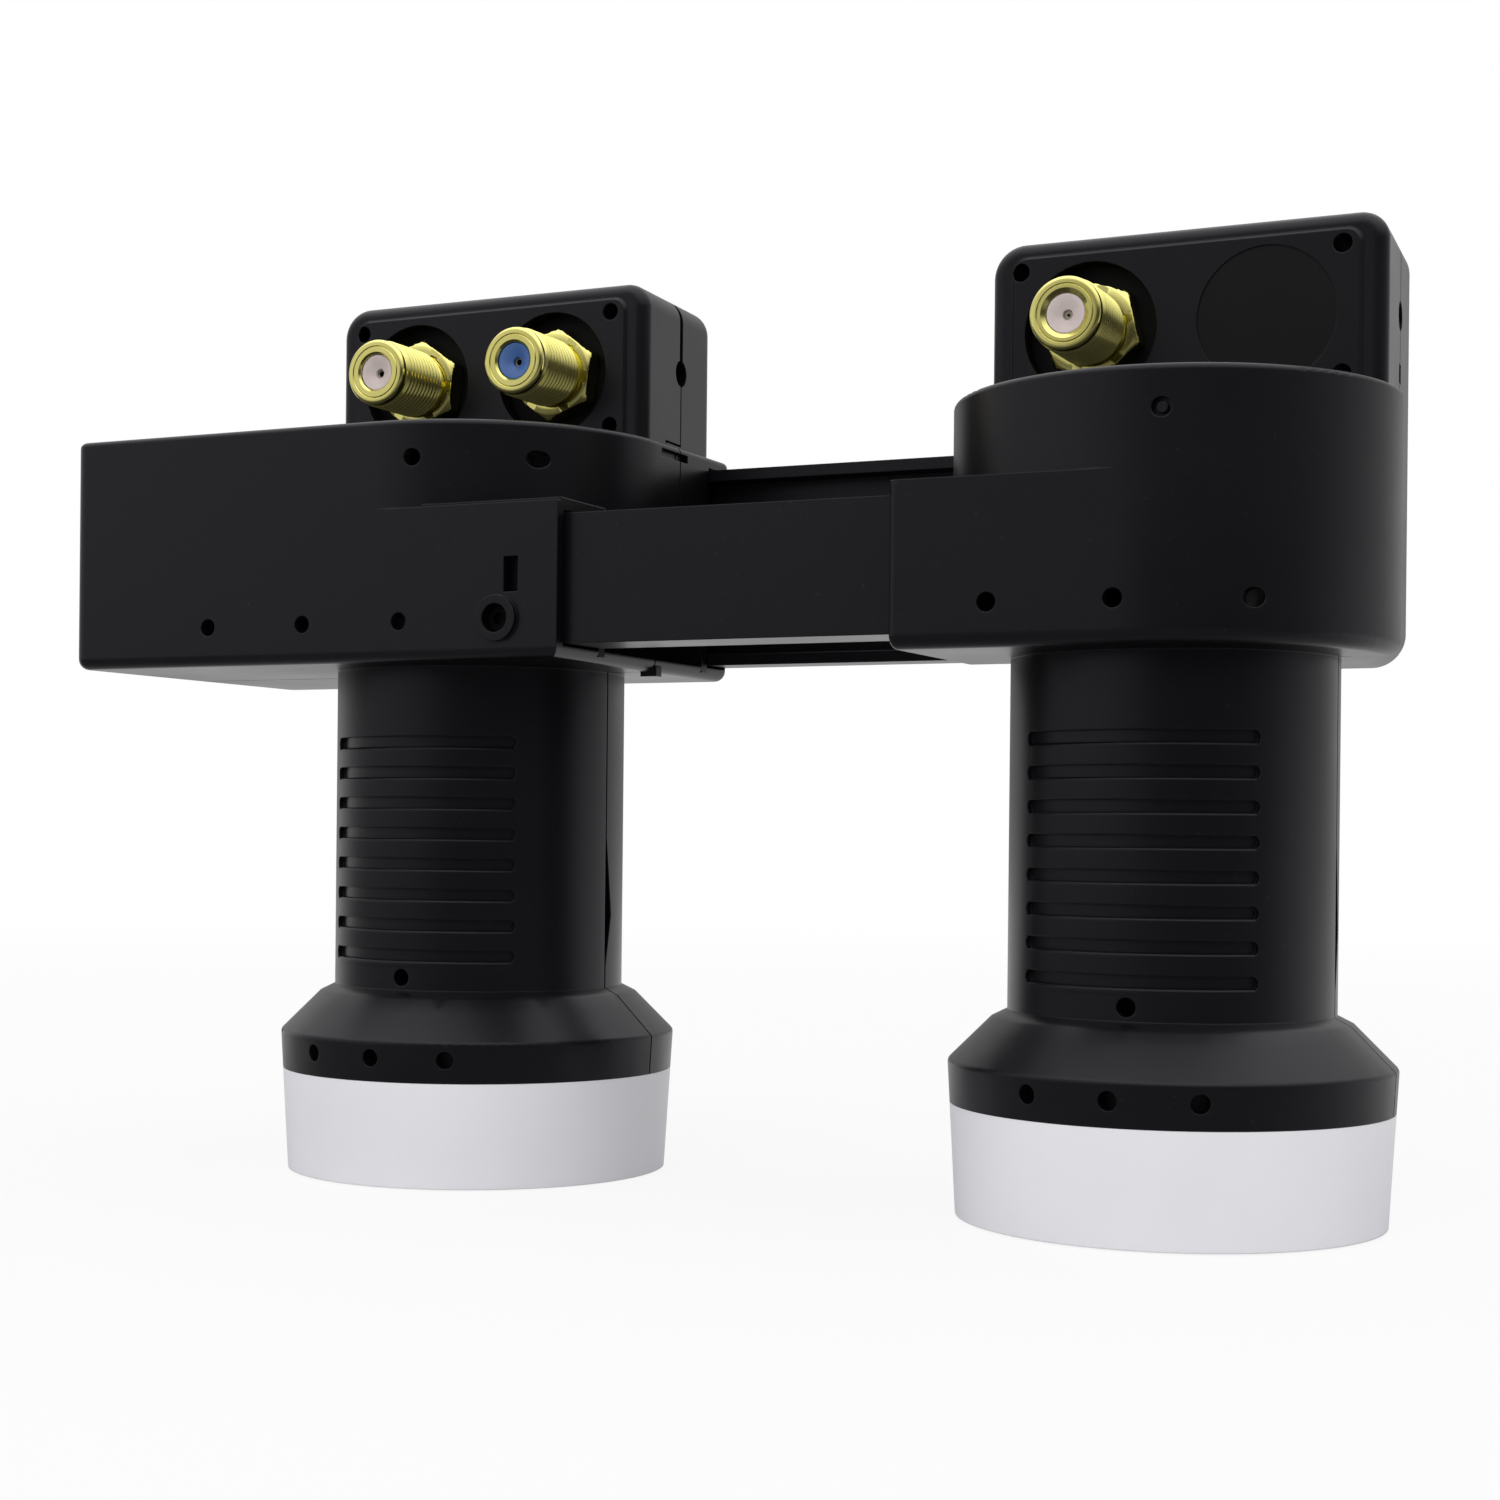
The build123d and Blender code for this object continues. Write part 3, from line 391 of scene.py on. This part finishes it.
finishes = {
    "black_plastic": black_plastic(),
    # Darker, duller plastic in the connector recesses is painted shade; on the blank disc it is the disc's
    # own finish
    "dull_plastic_and_painted_shade": dull_plastic_and_painted_shade("dull_plastic_and_painted_shade", smoothest=0.50, roughest=0.60, ior=1.24),
    "blank_plastic": dull_plastic_and_painted_shade("blank_plastic", smoothest=0.38, roughest=0.48, ior=1.32),
    "cap_plastic": cap_plastic(),
    "board": circuit_board(),
    "seal_rubber": plain_moulding(
        "seal_rubber",
        dark=(0.012, 0.012, 0.012),
        light=(0.020, 0.020, 0.020),
        smoothest=0.54,
        roughest=0.66,
    ),
    "pale_insulator": plain_moulding(
        "pale_insulator",
        dark=(0.50, 0.42, 0.41),
        light=(0.58, 0.50, 0.48),
        smoothest=0.36,
        roughest=0.48,
    ),
    "blue_insulator": plain_moulding(
        "blue_insulator",
        dark=(0.035, 0.090, 0.260),
        light=(0.050, 0.120, 0.320),
        smoothest=0.32,
        roughest=0.44,
    ),
    "cast_metal": metal(
        "cast_metal",
        dark=(0.42, 0.42, 0.43),
        light=(0.56, 0.56, 0.57),
        smoothest=0.38,
        roughest=0.58,
        clouds=90.0,
    ),
    "shield_metal": metal(
        "shield_metal",
        dark=(0.55, 0.56, 0.57),
        light=(0.66, 0.67, 0.68),
        smoothest=0.20,
        roughest=0.36,
    ),
    "screw_steel": metal(
        "screw_steel",
        dark=(0.45, 0.45, 0.46),
        light=(0.60, 0.60, 0.60),
        smoothest=0.24,
        roughest=0.42,
    ),
    # Blackened steel, made darker still so the lock screw shows as painted shade of the hole it sits in
    "black_steel": metal(
        "black_steel",
        dark=(0.006, 0.006, 0.006),
        light=(0.011, 0.011, 0.011),
        smoothest=0.42,
        roughest=0.58,
    ),
    "plated_brass": metal(
        "plated_brass",
        dark=(0.79, 0.72, 0.21),
        light=(0.88, 0.81, 0.29),
        smoothest=0.13,
        roughest=0.19,
    ),
    "contact_metal": metal(
        "contact_metal",
        dark=(0.40, 0.37, 0.30),
        light=(0.52, 0.48, 0.38),
        smoothest=0.25,
        roughest=0.40,
    ),
}


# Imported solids

class Corners:
    """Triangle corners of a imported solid, with shading normals that can be set one by one."""

    def __init__(self, solid):
        self.mesh = solid.data
        count = len(self.mesh.loops)
        indices = np.empty(count, np.int32)
        self.mesh.loops.foreach_get("vertex_index", indices)
        points = np.empty(3 * len(self.mesh.vertices), np.float32)
        self.mesh.vertices.foreach_get("co", points)
        self.points = points.reshape(-1, 3)[indices].astype(float)
        facing = np.empty(count, np.float32)
        self.mesh.polygons.foreach_get("normal", facing)
        self.facing = facing.reshape(-1, 3).astype(float)
        areas = np.empty(count // 3, np.float32)
        self.mesh.polygons.foreach_get("area", areas)
        self.areas = areas.astype(float)
        self.normals = np.repeat(self.facing, 3, axis=0)

    def flat_stretches(self, spots):
        """Number of the flat stretch that each triangle is part of, and that stretch's area."""
        sides = np.sort(spots.reshape(-1, 3)[:, [[0, 1], [1, 2], [2, 0]]].reshape(-1, 2), axis=1)
        order = np.lexsort((sides[:, 1], sides[:, 0]))
        shared = (sides[order][1:] == sides[order][:-1]).all(axis=1)
        first = order[:-1][shared] // 3
        second = order[1:][shared] // 3
        level = (self.facing[first] * self.facing[second]).sum(axis=1) > cos(FLAT_ANGLE)
        first, second = first[level], second[level]
        stretch = np.arange(len(self.areas))
        while True:
            lowest = np.minimum(stretch[first], stretch[second])
            joined = stretch.copy()
            np.minimum.at(joined, first, lowest)
            np.minimum.at(joined, second, lowest)
            joined = joined[joined]
            if (joined == stretch).all():
                break
            stretch = joined
        return stretch, np.bincount(stretch, self.areas, len(stretch))[stretch]

    def weigh(self):
        """Smooths each corner over gentle edges, led by the widest flat stretch that meets there."""
        grid = np.round(self.points / SPOT_SIZE).astype(np.int64)
        spots = np.unique(grid, axis=0, return_inverse=True)[1].reshape(-1)
        stretch, weight = self.flat_stretches(spots)
        order = np.argsort(spots, kind="stable")
        for group in np.split(order, np.flatnonzero(np.diff(spots[order])) + 1):
            faces = group // 3
            facing = self.facing[faces]
            share = weight[faces] / (stretch[faces][:, None] == stretch[faces]).sum(axis=1)
            smooth = facing @ facing.T > cos(CREASE_ANGLE)
            self.normals[group] = (smooth * share) @ facing

    def follow_axis(self, axis):
        """Exact normals on the walls that stand round an upright axis, whatever triangles cover them."""
        outward = self.points[:, :2] - np.array(axis[:2])
        radius = np.linalg.norm(outward, axis=1)
        outward = outward / radius[:, None]
        middle = outward.reshape(-1, 3, 2).mean(axis=1)
        side = np.sign((self.facing[:, :2] * middle).sum(axis=1))
        height = np.ptp(self.points[:, 2].reshape(-1, 3), axis=1)
        on_wall = (np.ptp(radius.reshape(-1, 3), axis=1) < WALL_ROUNDNESS) & (height > WALL_HEIGHT)
        chosen = np.repeat(on_wall, 3)
        self.normals[chosen, :2] = (outward * np.repeat(side, 3)[:, None])[chosen]
        self.normals[chosen, 2] = 0.0

    def keep(self):
        """Sets the normals on the solid as they now are."""
        lengths = np.maximum(np.linalg.norm(self.normals, axis=1), SHORTEST_NORMAL)
        self.mesh.normals_split_custom_set((self.normals / lengths[:, None]).tolist())


def feed_axis(side):
    """Middle of a unit's feed cap, which lies on the axis of its feed."""
    low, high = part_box(f"{side}_feed_cap")
    return (low + high) / 2


def outlet_axis(node):
    """Front point on an outlet's axis, and the angle of a corner of its hexagon."""
    low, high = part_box(node)
    front = Vector(((low.x + high.x) / 2, low.y, (low.z + high.z) / 2))
    corner = max(nodes[node].data.vertices, key=lambda v: hypot(v.co.x - front.x, v.co.z - front.z)).co
    return front, atan2(corner.z - front.z, corner.x - front.x)


def recess_shade_and_blank_finish(side):
    """Painted shade in the round recesses of a connector box, as a darker, duller finish; the blank one on
    the right among them gets its own darker finish.
    """
    shell = nodes[f"{side}_front_shell"].data
    shell.materials.append(finishes["dull_plastic_and_painted_shade"])
    axis = feed_axis(side)
    recesses = []
    for name, outlet in OUTLETS.items():
        if outlet["body"] == f"{side}_unit":
            recesses.append((outlet_axis(f"{name}_body")[0], RECESS_SHADE_INDEX))
    if side == "right":
        shell.materials.append(finishes["blank_plastic"])
        centre = recesses[0][0]
        recesses.append((Vector((2 * axis.x - centre.x, centre.y, centre.z)), BLANK_INDEX))
    for face in shell.polygons:
        if not BOX_FRONT < face.center.y - axis.y < BOX_FRONT + RECESS_DEPTH:
            continue
        for centre, index in recesses:
            if hypot(face.center.x - centre.x, face.center.z - centre.z) < RECESS_RADIUS:
                face.material_index = index


def dress_solids():
    """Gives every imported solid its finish, and the shells smooth shading that breaks at real edges."""
    slots = {part["node"]: part["material_slot"] for part in frame["record"]["subparts"]}
    for name, solid in nodes.items():
        solid.data.materials.clear()
        solid.data.materials.append(finishes[slots[name]])
    for side in ("left", "right"):
        for part in ("front_shell", "rear_shell"):
            corners = Corners(nodes[f"{side}_{part}"])
            corners.weigh()
            corners.follow_axis(feed_axis(side))
            corners.keep()
        recess_shade_and_blank_finish(side)


# Pieces built here

def new_piece(name, shape, slot, crease_angle):
    """Object in the scene with the shape's mesh and a finish, smooth up to a crease angle."""
    bmesh.ops.recalc_face_normals(shape, faces=shape.faces)
    data = bpy.data.meshes.new(name)
    shape.to_mesh(data)
    shape.free()
    data.shade_smooth()
    data.set_sharp_from_angle(angle=crease_angle)
    data.materials.append(finishes[slot])
    piece = bpy.data.objects.new(name, data)
    bpy.context.scene.collection.objects.link(piece)
    return piece


class Turned:
    """Mesh round an axis that runs back along +Y from a front point, with its first column at an angle."""

    def __init__(self, front, turn=0.0):
        self.front = front
        self.angles = [turn + 2 * pi * j / COLUMNS for j in range(COLUMNS)]
        self.mesh = bmesh.new()

    def point(self, angle, radius, depth):
        place = self.front + Vector((radius * cos(angle), depth, radius * sin(angle)))
        return self.mesh.verts.new(place)

    def ring(self, radius, depth):
        """Closed row of vertices; radius is a number or a function of the angle."""
        return [self.point(a, radius(a) if callable(radius) else radius, depth) for a in self.angles]

    def bridge(self, first, second):
        for j in range(COLUMNS):
            k = (j + 1) % COLUMNS
            self.mesh.faces.new((first[j], first[k], second[k], second[j]))

    def lathe(self, profile):
        """Surface through rings at each (radius, depth) of the profile."""
        rows = [self.ring(radius, depth) for radius, depth in profile]
        for first, second in zip(rows, rows[1:]):
            self.bridge(first, second)

    def thread(self, start, end):
        """Screw thread that fades in and out at its two ends."""
        steps = len(THREAD_STEPS)
        count = (int((end - start) / THREAD_PITCH) + 2) * steps
        rows = []
        for k in range(-steps, count + steps + 1):
            lead = THREAD_PITCH * (k // steps + THREAD_STEPS[k % steps])
            height = (THREAD_CREST - RELIEF_RADIUS) * THREAD_HEIGHTS[k % steps]
            row = []
            for j, angle in enumerate(self.angles):
                depth = min(max(start + lead + THREAD_PITCH * j / COLUMNS, start), end)
                fade = min(1.0, (depth - start) / THREAD_FADE, (end - depth) / THREAD_FADE)
                row.append(self.point(angle, RELIEF_RADIUS + height * fade, depth))
            rows.append(row)
        for i in range(len(rows) - steps - 1):
            for j in range(COLUMNS):
                last = j == COLUMNS - 1
                right = rows[i + steps][0] if last else rows[i][j + 1]
                right_next = rows[i + steps + 1][0] if last else rows[i + 1][j + 1]
                self.mesh.faces.new((rows[i][j], right, right_next, rows[i + 1][j]))

    def finish(self, name, body, slot, node):
        """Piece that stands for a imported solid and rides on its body."""
        bmesh.ops.remove_doubles(self.mesh, verts=self.mesh.verts, dist=WELD_DISTANCE)
        bmesh.ops.dissolve_degenerate(self.mesh, edges=self.mesh.edges, dist=WELD_DISTANCE)
        piece = new_piece(name, self.mesh, slot, OUTLET_CREASE_ANGLE)
        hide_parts(node)
        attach(piece, body)


# Outlets

def hexagon_rows(turn):
    """Rings of a hexagon with a corner at turn, its front and back chamfered round."""
    reach = HEX_APOTHEM / cos(pi / 6)
    chamfer_depth = (reach - HEX_CHAMFER_RADIUS) * HEX_CHAMFER_SLOPE
    front = []
    back = []
    for i in range(HEX_CHAMFER_STEPS + 1):
        depth = chamfer_depth * i / HEX_CHAMFER_STEPS
        limit = HEX_CHAMFER_RADIUS + depth / HEX_CHAMFER_SLOPE

        def outline(angle, limit=limit):
            return min(limit, HEX_APOTHEM / cos((angle - turn) % (pi / 3) - pi / 6))

        front.append((outline, HEX_FRONT + depth))
        back.append((outline, HEX_BACK - depth))
    return front + back[::-1]


def outlet_body(outlet, body, front, turn, mouth):
    """Barrel with a plain nose, a thread and a chamfered hexagon, hollow right through."""
    shape = Turned(front, turn)
    chamfer = NOSE_RADIUS - FACE_RADIUS
    thread_start = NOSE_END + RELIEF_WIDTH
    thread_end = HEX_FRONT - RELIEF_WIDTH
    shape.lathe([
        (BORE_RADIUS, TAIL_END),
        (BORE_RADIUS, min(mouth, MOUTH_DEPTH)),
        (BORE_RADIUS + mouth, 0.0),
        (FACE_LINE - FACE_LINE_WIDTH, 0.0),
        (FACE_LINE, FACE_LINE_WIDTH),
        (FACE_LINE + FACE_LINE_WIDTH, 0.0),
        (FACE_RADIUS, 0.0),
        *[(FACE_RADIUS + out * chamfer, back * chamfer) for out, back in NOSE_ROUND],
        (NOSE_RADIUS, chamfer),
        (NOSE_RADIUS, NOSE_END - EDGE_BREAK),
        (NOSE_RADIUS - EDGE_BREAK, NOSE_END),
        (RELIEF_RADIUS, NOSE_END + RELIEF_STEP),
        (RELIEF_RADIUS, thread_start),
    ])
    shape.thread(thread_start, thread_end)
    shape.lathe([
        (RELIEF_RADIUS, thread_end),
        (RELIEF_RADIUS, HEX_FRONT),
        *hexagon_rows(turn),
        (TAIL_RADIUS, HEX_BACK),
        (TAIL_RADIUS, TAIL_END),
        (BORE_RADIUS, TAIL_END),
    ])
    shape.finish(f"{outlet}_threaded_body", body, "plated_brass", f"{outlet}_body")


def outlet_insulator(outlet, body, front, slot):
    """Plug in the barrel with a funnel-shaped face and a hole for the cable's core."""
    shape = Turned(front)
    dished = INSULATOR_FACE + INSULATOR_DISH
    shape.lathe([
        (HOLE_RADIUS, TAIL_END),
        (HOLE_RADIUS, dished + 2 * HOLE_FLARE),
        (HOLE_RADIUS + HOLE_FLARE, dished),
        (DISH_BEND_RADIUS, dished - DISH_BEND_RISE),
        (INSULATOR_RIM, INSULATOR_FACE),
        (INSULATOR_RADIUS - EDGE_BREAK, INSULATOR_FACE),
        (INSULATOR_RADIUS, INSULATOR_FACE + EDGE_BREAK),
        (INSULATOR_RADIUS, TAIL_END),
        (HOLE_RADIUS, TAIL_END),
    ])
    shape.finish(f"{outlet}_core_plug", body, slot, f"{outlet}_insulator")


def outlet_contact(outlet, body, front, bore):
    """Tubular spring contact behind the hole."""
    node = f"{outlet}_contact"
    shape = Turned(front)
    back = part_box(node)[1].y - front.y
    shape.lathe([
        (0.0, CONTACT_DEPTH),
        (bore, CONTACT_DEPTH),
        (bore, CONTACT_FACE + EDGE_BREAK),
        (bore + EDGE_BREAK, CONTACT_FACE),
        (CONTACT_RADIUS, CONTACT_FACE),
        (CONTACT_RADIUS, back),
        (0.0, back),
    ])
    shape.finish(f"{outlet}_spring_contact", body, "contact_metal", node)


def build_outlets():
    for name, outlet in OUTLETS.items():
        front, turn = outlet_axis(f"{name}_body")
        outlet_body(name, outlet["body"], front, turn, outlet["mouth"])
        outlet_insulator(name, outlet["body"], front, outlet["plug"])
        outlet_contact(name, outlet["body"], front, outlet["bore"])


# Necks

def neck_section(groove):
    """Outline of a wall as (radius, height): its face, a rounded lip under the groove, and its back."""
    top = GROOVE_FIRST + groove * GROOVE_PITCH - GROOVE_HEIGHT / 2 - GROOVE_LIP
    inner = NECK_RADIUS - NECK_SKIN
    if groove == 0:
        bottom = top - NECK_FOOT
        section = [(NECK_RADIUS - NECK_SINK, bottom), (NECK_RADIUS, bottom + NECK_FOOT / 2)]
    else:
        bottom = top - GROOVE_PITCH + GROOVE_HEIGHT + 2 * GROOVE_LIP
        section = [(NECK_RADIUS, bottom)]
    section.append((NECK_RADIUS, top - LIP_RISE / 2))
    for j in range(LIP_STEPS + 1):
        turn = pi / 2 * j / LIP_STEPS
        section.append((inner + NECK_SKIN * cos(turn), top + LIP_RISE * sin(turn)))
    section.append((inner, bottom))
    return section


def add_neck_wall(shape, axis, section):
    """Closed wall round the front of a neck, with its two ends sunk into the neck."""
    rows = []
    for j in range(NECK_COLUMNS + 1):
        angle = NECK_HALF_ANGLE * (2 * j / NECK_COLUMNS - 1)
        past_groove = (abs(angle) - GROOVE_HALF_ANGLE) / (NECK_HALF_ANGLE - GROOVE_HALF_ANGLE)
        sink = NECK_SINK * max(0.0, past_groove)
        ahead = Vector((sin(angle), -cos(angle), 0.0))
        row = []
        for radius, height in section:
            row.append(shape.verts.new(Vector((axis.x, axis.y, height)) + (radius - sink) * ahead))
        rows.append(row)
    for first, second in zip(rows, rows[1:]):
        for k in range(len(section)):
            shape.faces.new((first[k - 1], second[k - 1], second[k], first[k]))
    shape.faces.new(rows[0])
    shape.faces.new(reversed(rows[-1]))


def build_neck_walls():
    """Curved walls below the grip grooves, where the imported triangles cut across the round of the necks."""
    for side in ("left", "right"):
        shape = bmesh.new()
        for groove in range(GROOVE_COUNT):
            add_neck_wall(shape, feed_axis(side), neck_section(groove))
        walls = new_piece(f"{side}_neck_walls", shape, "black_plastic", CREASE_ANGLE)
        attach(walls, f"{side}_unit")


# Floor, light and camera

def floor_finish():
    """Pale floor that takes the object's soft shadow and shows white to the camera and in reflections."""
    material, tree, shader = new_material("floor")
    shader.inputs["Base Color"].default_value = FLOOR_COLOUR
    shader.inputs["Roughness"].default_value = FLOOR_ROUGHNESS
    path = add_node(tree, "ShaderNodeLightPath").outputs
    point = object_point(tree)
    back = add_node(tree, "ShaderNodeSeparateXYZ", {"Vector": point}).outputs["Y"]
    behind = spread(tree, back, **FLOOR_BEHIND)
    shaded = combine(tree, "MULTIPLY", behind, spread(tree, back, **FLOOR_DISTANT))
    mirrored = combine(tree, "MULTIPLY", path["Is Glossy Ray"], shaded)
    seen = combine(tree, "MAXIMUM", path["Is Camera Ray"], path["Is Transmission Ray"])
    glow = add_node(tree, "ShaderNodeEmission", {"Strength": combine(tree, "ADD", seen, mirrored)})
    reach = add_node(tree, "ShaderNodeVectorMath", {0: point}, operation="LENGTH").outputs["Value"]
    either = combine(tree, "MAXIMUM", seen, path["Is Glossy Ray"])
    share = combine(tree, "MULTIPLY", either, spread(tree, reach, **FLOOR_COVER))
    surface = mix_shaders(tree, share, shader.outputs["BSDF"], glow.outputs["Emission"])
    tree.links.new(surface, tree.nodes["Material Output"].inputs["Surface"])
    return material


def build_floor():
    half = FLOOR_SIZE / 2
    corners = [(-half, -half, 0), (half, -half, 0), (half, half, 0), (-half, half, 0)]
    data = bpy.data.meshes.new("floor")
    data.from_pydata(corners, [], [(0, 1, 2, 3)])
    data.materials.append(floor_finish())
    floor = bpy.data.objects.new("floor", data)
    floor.location.z = -FLOOR_DROP
    bpy.context.scene.collection.objects.link(floor)


def background(tree, strength):
    """White studio of this strength."""
    inputs = {"Color": WHITE, "Strength": strength}
    return add_node(tree, "ShaderNodeBackground", inputs).outputs["Background"]


def build_world():
    """Even soft light; the camera sees white, and gloss sees a pale studio that darkens in front."""
    world = bpy.data.worlds.new("studio")
    bpy.context.scene.world = world
    world.use_nodes = True
    tree = world.node_tree
    tree.nodes.clear()
    output = add_node(tree, "ShaderNodeOutputWorld")
    path = add_node(tree, "ShaderNodeLightPath").outputs
    direction = add_node(tree, "ShaderNodeTexCoord").outputs["Generated"]
    upward = add_node(tree, "ShaderNodeSeparateXYZ", {"Vector": direction}).outputs["Z"]
    forward = along(tree, direction, (sin(CAMERA_YAW), -cos(CAMERA_YAW), 0.0))
    aside = along(tree, direction, SCREEN_SIDE)
    level = spread(tree, forward, **MIRRORED_AROUND)
    level = combine(tree, "ADD", level, spread(tree, forward, **MIRRORED_BACKDROP))
    level = combine(tree, "ADD", level, spread(tree, forward, **MIRRORED_FLANK))
    level = combine(tree, "ADD", level, spread(tree, aside, **MIRRORED_SCREEN))
    level = combine(tree, "MAXIMUM", level, spread(tree, upward, **MIRRORED_OVERHEAD))
    lit = mix_shaders(tree, path["Is Glossy Ray"], background(tree, WORLD_LEVEL), background(tree, level))
    seen = combine(tree, "MAXIMUM", path["Is Camera Ray"], path["Is Transmission Ray"])
    tree.links.new(mix_shaders(tree, seen, lit, background(tree, WHITE_LEVEL)), output.inputs["Surface"])


def build_lamps():
    for name, lamp in LAMPS.items():
        data = bpy.data.lights.new(name, "AREA")
        data.size = lamp["size"]
        data.energy = lamp["power"]
        light = bpy.data.objects.new(name, data)
        light.visible_glossy = False
        light.location = lamp["place"]
        aim = Vector(lamp["aim"]) - Vector(lamp["place"])
        light.rotation_euler = aim.to_track_quat("-Z", "Y").to_euler()
        bpy.context.scene.collection.objects.link(light)


def build_camera():
    """Camera where the photograph was taken from, with the same field of view and framing."""
    data = bpy.data.cameras.new("camera")
    data.sensor_width = SENSOR_WIDTH
    data.lens = data.sensor_width * FOCAL_PIXELS / FRAME_PIXELS
    data.shift_x = (FRAME_PIXELS / 2 - PRINCIPAL_POINT[0]) / FRAME_PIXELS
    data.shift_y = (PRINCIPAL_POINT[1] - FRAME_PIXELS / 2) / FRAME_PIXELS
    data.clip_start = NEAREST_SEEN
    data.clip_end = FARTHEST_SEEN
    ahead = Vector((
        -sin(CAMERA_YAW) * cos(CAMERA_PITCH),
        cos(CAMERA_YAW) * cos(CAMERA_PITCH),
        sin(CAMERA_PITCH),
    ))
    level = Vector((cos(CAMERA_YAW), sin(CAMERA_YAW), 0.0))
    upright = level.cross(ahead)
    right = cos(CAMERA_ROLL) * level + sin(CAMERA_ROLL) * upright
    up = cos(CAMERA_ROLL) * upright - sin(CAMERA_ROLL) * level
    camera = bpy.data.objects.new("camera", data)
    turn = Matrix((right, up, -ahead)).transposed().to_4x4()
    camera.matrix_world = Matrix.Translation(CAMERA_PLACE) @ turn
    bpy.context.scene.collection.objects.link(camera)
    bpy.context.scene.camera = camera


dress_solids()
build_outlets()
build_neck_walls()
build_floor()
build_world()
build_lamps()
build_camera()
bpy.context.scene.view_settings.view_transform = "Standard"
